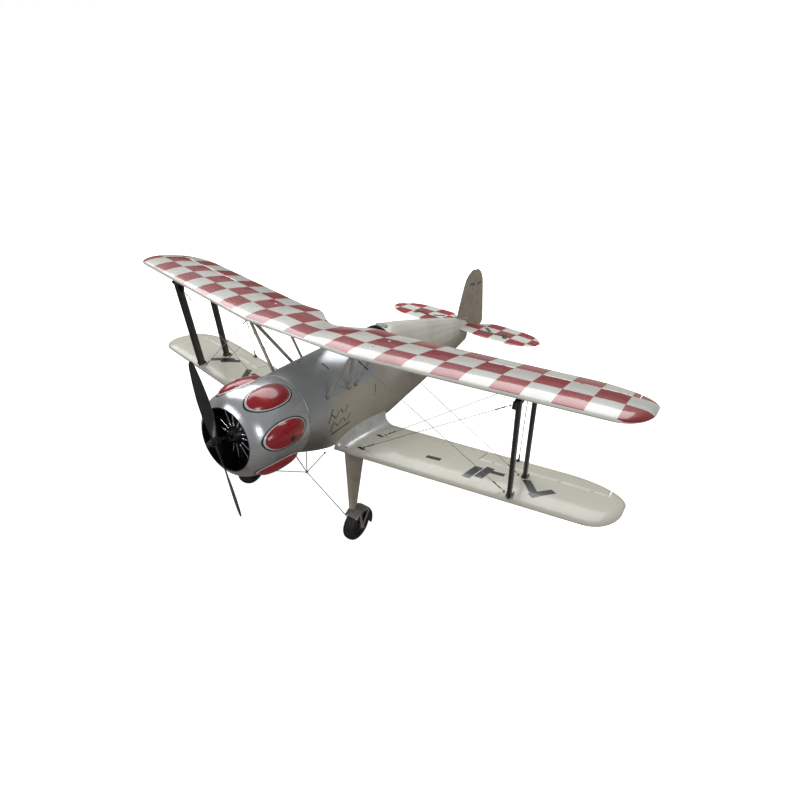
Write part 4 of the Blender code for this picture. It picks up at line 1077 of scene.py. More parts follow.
UPPER_FILM = CheckedFilm(name="checked_film", colour=(0.66, 0.66, 0.62), roughness=0.30, coat=0.9,
                         coat_roughness=0.05)
TAIL_FILM = CheckedFilm(name="checked_tail_film", colour=(0.66, 0.66, 0.62), roughness=0.32, coat=0.4,
                        coat_roughness=0.10, is_tail=True)
LOWER_FILM = CreamFilm(name="cream_film", colour=(0.56, 0.55, 0.47), roughness=0.32, coat=0.5,
                       coat_roughness=0.10)
BODY_PAINT = FuselagePaint(name="fuselage_paint", colour=(0.5, 0.48, 0.42), roughness=0.36, coat=0.3,
                           coat_roughness=0.15)
COWL_PAINT = CowlPaint(name="cowl_paint", colour=(0.56, 0.58, 0.61), roughness=0.30, coat=0.8,
                       coat_roughness=0.04)
FIN_PAINT = FinPaint(name="fin_paint", colour=(0.36, 0.31, 0.25), roughness=0.5, coat=0.1)
FILLET_METAL = Finish(name="fillet_silver", colour=(0.62, 0.63, 0.62), metallic=0.30, roughness=0.30,
                      coat=0.4, coat_roughness=0.1)
LEG_PAINT = Finish(name="leg_paint", colour=(0.34, 0.29, 0.235), roughness=0.42, coat=0.2)
CABANE_PAINT = Finish(name="cabane_paint", colour=(0.40, 0.37, 0.31), roughness=0.4, coat=0.2)
GUARD_PAINT = Finish(name="mudguard_paint", colour=(0.29, 0.28, 0.27), metallic=0.5, roughness=0.34, coat=0.4)
STRUT_BLACK = Finish(name="strut_black", colour=(0.014, 0.012, 0.011), roughness=0.34, coat=0.3,
                     coat_roughness=0.2)
PROP_BLACK = Finish(name="propeller_black", colour=(0.010, 0.010, 0.011), roughness=0.38, coat=0.25,
                    coat_roughness=0.25)
PLASTIC = Finish(name="black_plastic", colour=(0.018, 0.018, 0.020), roughness=0.45)
ENGINE_BLACK = Finish(name="engine_black", colour=(0.020, 0.020, 0.024), metallic=0.3, roughness=0.42)
STEEL = BrushedMetal(name="steel", colour=(0.42, 0.42, 0.42), metallic=1.0, roughness=0.34)
BRIGHT = BrushedMetal(name="bright_steel", colour=(0.74, 0.74, 0.76), metallic=1.0, roughness=0.22,
                      strength=0.1)
WIRE_METAL = Finish(name="wire_metal", colour=(0.33, 0.32, 0.30), metallic=0.6, roughness=0.4)
TYRE = Rubber(name="tyre_rubber", colour=(0.013, 0.013, 0.014), roughness=0.62)
PLYWOOD = Wood(name="plywood", colour=(0.60, 0.44, 0.26), roughness=0.6)
WRAP = Finish(name="battery_wrap", colour=(0.05, 0.10, 0.32), roughness=0.3, coat=0.3)
LEATHER = Hide(name="seat_leather", colour=(0.17, 0.085, 0.035), roughness=0.5)
CLEAR = ClearSheet(name="clear_sheet", colour=(0.86, 0.90, 0.92), roughness=0.06)
DIAL = Finish(name="dial_face", colour=(0.60, 0.60, 0.56), roughness=0.3, coat=0.6)
RIM_PAD = Hide(name="rim_pad", colour=(0.26, 0.23, 0.17), roughness=0.55)
HEADREST = Hide(name="headrest_pad", colour=(0.36, 0.42, 0.48), roughness=0.5)
ENGINE_GREY = BrushedMetal(name="engine_case_metal", colour=(0.022, 0.022, 0.024), metallic=0.4,
                           roughness=0.38, strength=0.1)
HUB_GREY = BrushedMetal(name="hub_metal", colour=(0.05, 0.05, 0.052), metallic=0.6, roughness=0.4)
BRACKET = BrushedMetal(name="bracket_metal", colour=(0.55, 0.54, 0.52), metallic=0.8, roughness=0.36)
# Painted shade: near-black for the inside of the cowling and behind the engine, where there is only shade.
COWL_SHADE_BLACK = Finish(name="cowl_shade_black", colour=(0.006, 0.006, 0.007), roughness=0.6)
STEEL_DARK = BrushedMetal(name="dark_steel", colour=(0.10, 0.10, 0.10), metallic=0.7, roughness=0.42)


# ---- wings ----
def half_thickness(s: np.ndarray) -> np.ndarray:
    """Half thickness of the section as a share of the chord.

    Formula: a square root that rounds the nose, less a fourth-order curve that closes the tail.

    Args:
        s: Place along the chord, nought to one.

    Returns:
        Half thickness at each place.
    """
    tail = 0.126 * s + 0.3516 * s**2 - 0.2843 * s**3 + 0.1015 * s**4
    return 5.0 * THICKNESS * (0.2969 * np.sqrt(s) - tail)


def camber_line(s: np.ndarray) -> np.ndarray:
    """Height of the mean line: two parabolas that meet at four tenths of the chord."""
    return np.where(s < 0.4, CAMBER * (0.8 * s - s * s) / 0.16, CAMBER * (0.2 + 0.8 * s - s * s) / 0.36)


@dataclass
class Plane:
    """One plane of the biplane: where its leading edge runs and how its section is placed."""

    nose_y: float
    nose_z: float
    sweep: float
    dihedral: float
    straight: float
    rib_pitch: float = 0.066
    sag: float = 0.0004

    def nose(self, x: np.ndarray) -> tuple:
        """Leading edge y and z at span positions."""
        run = np.maximum(np.abs(x) - self.straight, 0.0)
        return self.nose_y + self.sweep * run, self.nose_z + self.dihedral * run

    def limits(self, x: np.ndarray) -> tuple:
        """Front and rear of the section, measured from the straight leading edge line.

        Formula: both run in along a quarter ellipse towards the tip, and the upper wing's centre
        is cut back along a smooth step.

        Args:
            x: Span positions.

        Returns:
            Front and rear distances.
        """
        reach = np.abs(x)
        t = np.clip((reach - 0.750) / (HALF_SPAN - 0.750), 0.0, 1.0)
        front = 0.105 * (1.0 - np.sqrt(1.0 - t * t))
        t = np.clip((reach - 0.65) / (HALF_SPAN - 0.65), 0.0, 1.0)
        rear = CHORD - 0.098 * (1.0 - np.sqrt(1.0 - t * t))
        if self.straight > 0.0:
            e = np.clip(reach / CUTOUT_HALF, 0.0, 1.0)
            rear = rear - CUTOUT_DEPTH * (1.0 - e * e * (3.0 - 2.0 * e))
        return front, rear

    def heights(self, x: np.ndarray, u: np.ndarray) -> tuple:
        """Upper and lower skin heights above the chord line.

        Formula: mean line plus and minus half thickness, rounded off along a circle at the tip,
        with the film drawn in a little between the ribs.

        Args:
            x: Span positions.
            u: Distances aft of the leading edge line.

        Returns:
            Upper and lower heights.
        """
        front, rear = self.limits(x)
        chord = rear - front
        s = np.clip((u - front) / chord, 0.0, 1.0)
        scale = chord * (0.55 + 0.45 * np.minimum(chord / 0.12, 1.0))
        edge = np.clip((np.abs(x) - 0.797) / (HALF_SPAN - 0.797), 0.0, 1.0)
        tip = np.sqrt(1.0 - 0.985 * edge * edge)
        sag = self.sag * np.sin(math.pi * x / self.rib_pitch) ** 2 * np.sin(math.pi * s)
        thick = (half_thickness(s) * scale + 0.0005 * s - sag) * tip
        mean = camber_line(s) * scale
        return mean + thick, mean - thick

    def place(self, x: np.ndarray, u: np.ndarray, w: np.ndarray) -> np.ndarray:
        """Body-frame points from span position, distance aft and height above the chord line."""
        y, z = self.nose(x)
        shape = np.broadcast(x, u, w).shape
        y = y + u * math.cos(INCIDENCE) + w * math.sin(INCIDENCE)
        z = z - u * math.sin(INCIDENCE) + w * math.cos(INCIDENCE)
        return np.stack([np.broadcast_to(part, shape) for part in (x, y, z)], axis=-1)

    def on(self, x: float, u: float, lower: bool = False, lift: float = 0.0) -> np.ndarray:
        """Point on the skin, raised clear of it by a lift."""
        top, low = self.heights(np.float64(x), np.float64(u))
        point = self.place(np.float64(x), np.float64(u), low if lower else top)
        return point + np.array((0.0, 0.0, -lift if lower else lift))

    def skin(self, x: np.ndarray, bay: np.ndarray) -> Surface:
        """Wing skin with the aileron bays left open behind the cove.

        Formula: each station is a loop from the trailing edge over the nose and back underneath;
        in a bay the points behind the cove lie on its wall instead.

        Args:
            x: Span positions in order.
            bay: True where the station lies in a bay.

        Returns:
            The closed surface.
        """
        front, rear = self.limits(x)
        outer = np.abs(x) > BAY_OUT + 0.001
        cove = np.where(outer, front + (rear - front) * COVE_U / CHORD, COVE_U)
        ahead = front[:, None] + (cove - front)[:, None] * np.linspace(0.0, 1.0, 24) ** 2
        share = np.linspace(0.0, 1.0, 11)[1:]
        aft = cove[:, None] + (rear - cove)[:, None] * share
        u = np.hstack([ahead, aft])
        top, low = self.heights(x[:, None], u)
        middle = (top[:, 23:24] + low[:, 23:24]) / 2.0
        hole = bay[:, None]
        u[:, 24:] = np.where(hole, cove[:, None], u[:, 24:])
        top[:, 24:] = np.where(hole, top[:, 23:24] + (middle - top[:, 23:24]) * share, top[:, 24:])
        low[:, 24:] = np.where(hole, low[:, 23:24] + (middle - low[:, 23:24]) * share, low[:, 24:])
        loop_u = np.hstack([u[:, ::-1], u[:, 1:]])
        loop_w = np.hstack([top[:, ::-1], low[:, 1:]])
        return grid(self.place(x[:, None], loop_u, loop_w), wrap_columns=True, caps=True)

    def stations(self, start: float) -> tuple:
        """Span positions of one half with the bay's ends doubled, and which of them lie in the bay."""
        inner = np.linspace(start, BAY_IN, 70)
        middle = np.linspace(BAY_IN, BAY_OUT, 76)
        outer = BAY_OUT + (0.8221 - BAY_OUT) * np.sin(np.linspace(0.0, math.pi / 2.0, 26))
        bay = np.concatenate([np.zeros(70, bool), np.ones(76, bool), np.zeros(26, bool)])
        return np.concatenate([inner, middle, outer]), bay

    def aileron(self, side: float) -> Surface:
        """Aileron with a round nose centred on its hinge line.

        Formula: half a circle at the nose, then straight back along both skins.

        Args:
            side: Plus or minus one.

        Returns:
            The closed surface.
        """
        x = np.linspace(BAY_IN + BAY_GAP, BAY_OUT - BAY_GAP, 64)[:, None]
        _, rear = self.limits(x)
        up, down = self.heights(x, np.full_like(x, HINGE_U))
        mean = (up + down) / 2.0
        radius = (up - down) / 2.0
        share = np.linspace(0.0, 1.0, 12)
        u = HINGE_U + (rear - HINGE_U) * share
        top, low = self.heights(x, u)
        turn = np.radians(np.linspace(90.0, 270.0, 11))[1:-1]
        loop_u = np.hstack([u[:, ::-1], HINGE_U + radius * np.cos(turn), u])
        loop_w = np.hstack([top[:, ::-1], mean + radius * np.sin(turn), low])
        return grid(self.place(side * x, loop_u, loop_w), wrap_columns=True, caps=True)


UPPER = Plane(0.2097, 0.1990, math.tan(math.radians(12.5)), 0.0073, 0.165)
LOWER = Plane(0.2896, -0.1310, 0.1728, 0.0300, 0.0, 0.058)


@dataclass
class Wings:
    """Both planes with their ailerons, horns, push rods and servos."""

    def build(self) -> None:
        """Build every wing piece."""
        x, bay = UPPER.stations(0.0)
        both = np.concatenate([-x[:0:-1], x])
        make("upper_wing_skin", UPPER.skin(both, np.concatenate([bay[:0:-1], bay])), "airframe",
             UPPER_FILM, ("upper_wing",))
        self.centre_fittings()
        for side in Side:
            x, bay = LOWER.stations(LOWER_ROOT)
            make(f"lower_wing_skin_{side.tag}", LOWER.skin(side.value * x, bay), "airframe",
                 LOWER_FILM, (f"lower_wing_{side.tag}",))
            for plane, level, film, slot_name in ((UPPER, "upper", UPPER_FILM, "red_white_film"),
                                                  (LOWER, "lower", LOWER_FILM, "cream_film")):
                body = f"aileron_{level}_{side.tag}"
                make(f"{body}_skin", plane.aileron(side.value), body, film, (body,))
                make(f"{body}_horn", self.horn(plane, side.value, level == "upper"), body,
                     PLASTIC, bevel=0.0003)
                make(f"{body}_hinges", self.hinges(plane, side.value), "airframe", PLASTIC)
            self.link(side)
            self.servo(side)

    def hinges(self, plane: Plane, side: float) -> Surface:
        """Four small hinge blocks in the gap ahead of an aileron.

        Args:
            plane: Upper or lower wing.
            side: Plus or minus one.

        Returns:
            The hinge blocks as one surface.
        """
        total = NOTHING
        for x in (0.470, 0.560, 0.650, 0.735):
            point = plane.on(side * x, COVE_U + 0.0010)
            piece = block(point - (0.0045, 0.0030, 0.0028), point + (0.0045, 0.0012, 0.0002))
            total += piece
        return total

    def horn(self, plane: Plane, side: float, lower: bool) -> Surface:
        """Flat horn with a pin that stands on an aileron's inner skin.

        Args:
            plane: Upper or lower wing.
            side: Plus or minus one.
            lower: Whether the horn stands on the lower skin.

        Returns:
            The horn and its pin.
        """
        foot = plane.on(side * LINK_X, LINK_U, lower)
        sign = -1.0 if lower else 1.0
        x, y, z = foot
        outline = ((y - 0.0120, z - sign * 0.0006), (y - 0.0035, z + sign * 0.0072),
                   (y + 0.0035, z + sign * 0.0072), (y + 0.0065, z - sign * 0.0006))
        fin = plate(outline, x - side * 0.0042, x - side * 0.0026, "X")
        base = block((x - 0.0068, y - 0.0135, z - 0.0006), (x + 0.0028, y + 0.0080, z + sign * 0.0011))
        pin = rod((x - side * 0.0052, y, z + sign * 0.0044), (x - side * 0.0010, y, z + sign * 0.0044),
                  0.0009)
        return fin + base + pin

    def link(self, side: Side) -> None:
        """Push rod between the ailerons with a clevis at each end.

        Args:
            side: Side of the model.
        """
        body = f"aileron_link_{side.tag}"
        low = LOWER.on(side.value * LINK_X, LINK_U, lift=0.0042)
        high = UPPER.on(side.value * LINK_X, LINK_U, True, 0.0046)
        along = (high - low) / np.linalg.norm(high - low)
        make(f"{body}_rod", rod(low + along * 0.004, high - along * 0.004, 0.0011), body,
             STRUT_BLACK, (body,))
        ends = NOTHING
        for foot, sign in ((low, 1.0), (high, -1.0)):
            way = along * sign
            barrel = aim(lathe(((0.006, 0.0012), (0.008, 0.0021), (0.020, 0.0021), (0.023, 0.0014)), 14, "Z",
                               closed=False), foot, way)
            fork = block(foot + way * 0.004 - (0.0018, 0.0021, 0.0052),
                         foot + way * 0.004 + (0.0018, 0.0021, 0.0052))
            ends += barrel + fork
        make(f"{body}_clevises", ends, body, PLASTIC, bevel=0.0003)

    def servo(self, side: Side) -> None:
        """Finish the aileron servo, which stays as the solid model has it."""
        low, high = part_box(f"aileron_servo_{side.tag}")
        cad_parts[f"aileron_servo_{side.tag}"].data.materials[0] = PLASTIC.material()
        LOG.info("aileron_servo_%s kept: %.3f m wide", side.tag, high.x - low.x)

    def centre_fittings(self) -> None:
        """Bolt heads over the cabane struts on the upper wing."""
        bolts = NOTHING
        for side in Side:
            for u in (0.060, 0.072, 0.140):
                point = UPPER.on(side.value * 0.192, u, lift=-0.0004)
                piece = lathe(((0.0, 0.0034), (0.0008, 0.0034), (0.0014, 0.0026), (0.0014, 0.0008)), 18, "Z",
                              tuple(point), closed=False)
                bolts += piece
        make("upper_wing_bolts", bolts, "airframe", STEEL)


# ---- fuselage ----
@dataclass
class Fuselage:
    """Shell, cockpit, deck and the gear inside it."""

    at: tuple = (0.1725, 0.21, 0.25, 0.30, 0.38, 0.475, 0.60, 0.64, 0.72, 0.84, 1.0, 1.165, 1.236)
    width: tuple = (0.103, 0.1018, 0.1005, 0.0995, 0.0985, 0.0965, 0.0895, 0.087, 0.0775, 0.066, 0.050,
                    0.033, 0.026)
    top: tuple = (0.0985, 0.1065, 0.112, 0.119, 0.129, 0.136, 0.148, 0.149, 0.140, 0.123, 0.0965, 0.066,
                  0.053)
    low: tuple = (0.1115, 0.1195, 0.128, 0.1335, 0.1335, 0.1335, 0.1335, 0.127, 0.118, 0.104, 0.079,
                  0.053, 0.041)
    round_top: tuple = (2.0, 2.0, 2.0, 2.0, 2.0, 2.0, 1.9, 1.9, 1.8, 1.75, 1.7, 1.7, 1.7)
    round_low: tuple = (2.0, 2.5, 3.2, 4.5, 5.0, 5.0, 5.0, 5.0, 5.0, 5.0, 4.5, 4.0, 3.5)
    sides: int = 96
    ridge: float = 0.0009

    def sizes(self, y: np.ndarray) -> list:
        """Half width, upper and lower reach and both exponents at stations."""
        return [rounded(np.asarray(y, float), self.at, column, 0.008)
                for column in (self.width, self.top, self.low, self.round_top, self.round_low)]

    def ring(self, y: np.ndarray, turn: np.ndarray, inset: float = 0.0) -> np.ndarray:
        """Points of the shell.

        Formula: a superellipse, x = w sin^(2/n), z = h cos^(2/n), with its own height and
        exponent above and below the middle, cut off flat under the belly.

        Args:
            y: Stations.
            turn: Angles from the top towards port.
            inset: How far inside the outer skin.

        Returns:
            Points of shape stations by angles by three.
        """
        w, up, down, n_up, n_low = [column[:, None] for column in self.sizes(y)]
        s, c = np.sin(turn)[None], np.cos(turn)[None]
        power = 2.0 / np.where(c >= 0.0, n_up, n_low)
        reach = np.where(c >= 0.0, up, down) - inset
        x = (w - inset) * np.sign(s) * np.abs(s) ** power
        z = reach * np.sign(c) * np.abs(c) ** power
        z = np.maximum(z, FLAT_BOTTOM_Z + inset)
        return np.stack([x, np.broadcast_to(np.asarray(y)[:, None], x.shape), z], axis=-1)

    def side_x(self, y: np.ndarray, z: np.ndarray) -> np.ndarray:
        """Half width at a height: the superellipse solved for x."""
        w, up, down, n_up, n_low = self.sizes(y)
        n = np.where(np.asarray(z) >= 0.0, n_up, n_low)
        reach = np.where(np.asarray(z) >= 0.0, up, down)
        return w * (1.0 - np.clip(np.abs(z) / reach, 0.0, 1.0) ** n) ** (1.0 / n)

    def top_z(self, y: np.ndarray, x: np.ndarray) -> np.ndarray:
        """Height of the upper skin: the superellipse solved for z."""
        w, up, _, n_up, _ = self.sizes(y)
        return up * (1.0 - np.clip(np.abs(x) / w, 0.0, 1.0) ** n_up) ** (1.0 / n_up)

    def build(self) -> None:
        """Build the shell and everything in and on it."""
        self.shell()
        self.cockpit()
        self.windshield()
        self.seat()
        self.equipment()
        for side in Side:
            self.fillet(side)

    def shell(self) -> None:
        """Fuselage skin with the cockpit left open and stringers under the rear deck."""
        cut_in, cut_out, reach = COCKPIT
        y = np.concatenate([np.linspace(FUS_FRONT, cut_in, 56)[:-1], np.linspace(cut_in, cut_out, 19),
                            np.linspace(cut_out, FUS_REAR, 100)[1:]])
        turn = np.linspace(0.0, 2.0 * math.pi, self.sides, endpoint=False)
        points = self.ring(y, turn)
        stringer = np.arange(self.sides) % 4 == 0
        upper = np.cos(turn) > 0.05
        lift = self.ridge * (stringer & upper)[None] * np.clip((y - 0.62) / 0.05, 0.0, 1.0)[:, None]
        away = np.stack([np.sin(turn), 0.0 * turn, np.cos(turn)], axis=-1)[None]
        points = points + lift[..., None] * away
        skin = grid(points, wrap_columns=True)
        row, column = np.divmod(np.arange((len(y) - 1) * self.sides), self.sides)
        steps = round(reach / (2.0 * math.pi / self.sides))
        over = (column < steps) | (column >= self.sides - steps)
        middle = (y[row] + y[row + 1]) / 2.0
        keep = ~(over & (middle > cut_in) & (middle < cut_out))
        faces = [face for face, kept in zip(skin.faces, keep) if kept]
        last = (len(y) - 1) * self.sides + np.arange(self.sides)
        hub = len(skin.points)
        faces += [tuple(fan) for fan in np.stack([last, np.roll(last, -1), np.full(self.sides, hub)],
                                                 1).tolist()]
        closed = Surface(np.vstack([skin.points, skin.points[last].mean(axis=0)]), faces)
        make("fuselage_skin", closed, "airframe", BODY_PAINT, ("fuselage_shell",), wall=0.0022)

    def cockpit(self) -> None:
        """Padded rim, instrument panel with dials and a headrest."""
        cut_in, cut_out, reach = COCKPIT
        t = np.linspace(-reach, reach, 25)
        y = np.linspace(cut_in, cut_out, 25)
        front = self.ring(np.array([cut_in]), t)[0]
        rear = self.ring(np.array([cut_out]), t[::-1])[0]
        port = self.ring(y, np.array([reach]))[:, 0]
        stbd = self.ring(y[::-1], np.array([-reach]))[:, 0]
        path = np.vstack([front[:-1], port[:-1], rear[:-1], stbd[:-1]])
        make("cockpit_rim", tube(path, 0.0015, 12, closed=True), "airframe", RIM_PAD)
        arc = np.linspace(-1.15, 1.15, 41)
        edge = self.ring(np.array([0.4790]), arc, 0.0045)[0]
        outline = [(x, z) for x, _, z in edge.tolist()]
        make("instrument_panel", plate(outline, 0.4780, 0.4800, "Y"), "airframe", PLASTIC,
             bevel=0.0004)
        rims, faces = NOTHING, NOTHING
        for x, z, r in ((-0.036, 0.070, 0.0100), (-0.012, 0.078, 0.0110), (0.014, 0.078, 0.0110),
                        (0.038, 0.070, 0.0100), (-0.024, 0.050, 0.0085), (0.001, 0.052, 0.0100),
                        (0.026, 0.050, 0.0085)):
            rim = lathe(((0.0, r), (0.0022, r), (0.0030, r - 0.0006), (0.0030, r - 0.0016),
                         (0.0012, r - 0.0018), (0.0, r - 0.0018)), 32, "Y", (x, 0.4798, z))
            dial = lathe(((0.0, r - 0.0016), (0.0014, r - 0.0016)), 32, "Y", (x, 0.4798, z), closed=False)
            needle = block((x - 0.0004, 0.4812, z), (x + 0.0004, 0.4817, z + r * 0.6))
            rims += rim + needle
            faces += dial
        make("dial_rims", rims, "airframe", PLASTIC)
        make("dial_faces", faces, "airframe", DIAL)
        head = float(self.top_z(np.array([0.613]), np.array([0.0]))[0])
        make("headrest", ball((0.0, 0.6190, head - 0.0015), (0.021, 0.0160, 0.0042)), "airframe",
             HEADREST)

    def windshield(self) -> None:
        """Curved clear screen with a metal edge.

        Formula: the foot follows a sine across the deck, leaning back and falling off to the sides.
        """
        s = np.linspace(-1.0, 1.0, 41)
        x = 0.046 * np.sin(s * 1.25) / math.sin(1.25)
        y = 0.448 + 0.022 * s * s
        low = self.top_z(y + 0.001, x) - 0.0006
        rise = 0.0360 * (1.0 - 0.38 * s * s)
        lean = 0.016 * (1.0 - 0.2 * s * s)
        t = np.linspace(0.0, 1.0, 10)[:, None]
        bulge = 0.003 * np.sin(math.pi * t)
        points = np.stack([x * (1.0 + 0.0 * t), y + lean * t - bulge, low + rise * t], axis=-1)
        make("windshield_sheet", grid(points), "airframe", CLEAR, ("windshield",),
             wall=0.0012)
        edge = np.vstack([points[:, 0], points[-1, 1:], points[::-1, -1][1:]])
        foot = points[0] + np.array((0.0, 0.0, 0.0004))
        make("windshield_edge", tube(edge, 0.0012, 8) + tube(foot, 0.0014, 8), "airframe",
             WIRE_METAL)

    def seat(self) -> None:
        """Moulded bucket seat.

        Formula: a J-shaped path carried across, with its edges curled up along a fourth power.
        """
        t = np.linspace(0.0, 1.0, 40)[:, None]
        s = np.linspace(-1.0, 1.0, 25)[None]
        y = np.interp(t, (0.0, 0.5, 0.62, 1.0), (0.504, 0.566, 0.580, 0.590))
        z = np.interp(t, (0.0, 0.42, 0.58, 1.0), (-0.014, -0.019, -0.006, 0.066))
        half = 0.033 - 0.006 * t**3
        curl = 0.013 * np.abs(s) ** 4
        points = np.stack([half * s + 0.0 * t, y - curl * np.clip((t - 0.4) * 4.0, 0.0, 1.0),
                           z + curl * np.clip((0.75 - t) * 3.0, 0.0, 1.0)], axis=-1)
        make("pilot_seat_shell", grid(points), "airframe", LEATHER, ("pilot_seat",), wall=0.0026)

    def equipment(self) -> None:
        """Finish the gear inside the shell, which stays as the solid model has it."""
        for names, finish in ((("firewall", "radio_tray"), PLYWOOD), (("battery",), WRAP),
                              (("receiver", "elevator_servo", "rudder_servo"), PLASTIC),
                              (("motor_bell", "motor_stator"), STEEL)):
            for name in names:
                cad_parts[name].data.materials[0] = finish.material()
                LOG.info("%s kept, finished in %s", name, finish.name)

    def fillet(self, side: Side) -> None:
        """Sheet metal fillet between the fuselage side and a lower wing root.

        Formula: the wing's own root section, swelled upwards and drawn in to the shell with the
        square of the distance from the wing.

        Args:
            side: Side of the model.
        """
        section = LOWER.skin(np.array([LOWER_ROOT, LOWER_ROOT + 0.001]), np.array([False, False])).points
        count = (len(section) - 2) // 2
        base = section[:count]
        half = count // 2
        t = np.linspace(1.0, 0.0, 18)[:, None]
        swell = (1.0 - t) ** 2
        middle = float(LOWER.nose(np.float64(LOWER_ROOT))[0]) + CHORD / 2.0
        y = base[:, 1] + (base[:, 1] - middle) * 0.05 * swell
        back = np.arange(count)
        rise = 0.036 * np.minimum(1.0, 0.45 + np.abs(half - back) * 0.03) * (back <= half)
        z = base[:, 2] + rise * swell
        inner = self.side_x(y.ravel(), np.clip(z, -0.1140, 0.0).ravel()).reshape(y.shape) + 0.0004
        way = np.interp(t, (0.0, 0.42, 0.72, 1.0), (0.0, 0.36, 0.64, 1.0))
        x = inner + (0.1296 - inner) * way
        points = np.stack([side.value * x, y, z], axis=-1)
        make(f"root_fillet_sheet_{side.tag}", grid(points, wrap_columns=True, caps=True), "airframe",
             FILLET_METAL, (f"root_fillet_{side.tag}",))
        bolts = NOTHING
        for aft in (0.030, 0.125):
            spot = LOWER.on(side.value * 0.150, aft, lift=-0.0005)
            piece = block(spot - (0.010, 0.0032, 0.0), spot + (0.010, 0.0032, 0.0022))
            piece = piece + lathe(((0.0, 0.0022), (0.0042, 0.0022), (0.0050, 0.0012)), 14, "Z", tuple(spot),
                                  closed=False)
            bolts += piece
        make(f"wing_root_lugs_{side.tag}", bolts, "airframe", PLASTIC, bevel=0.0004)


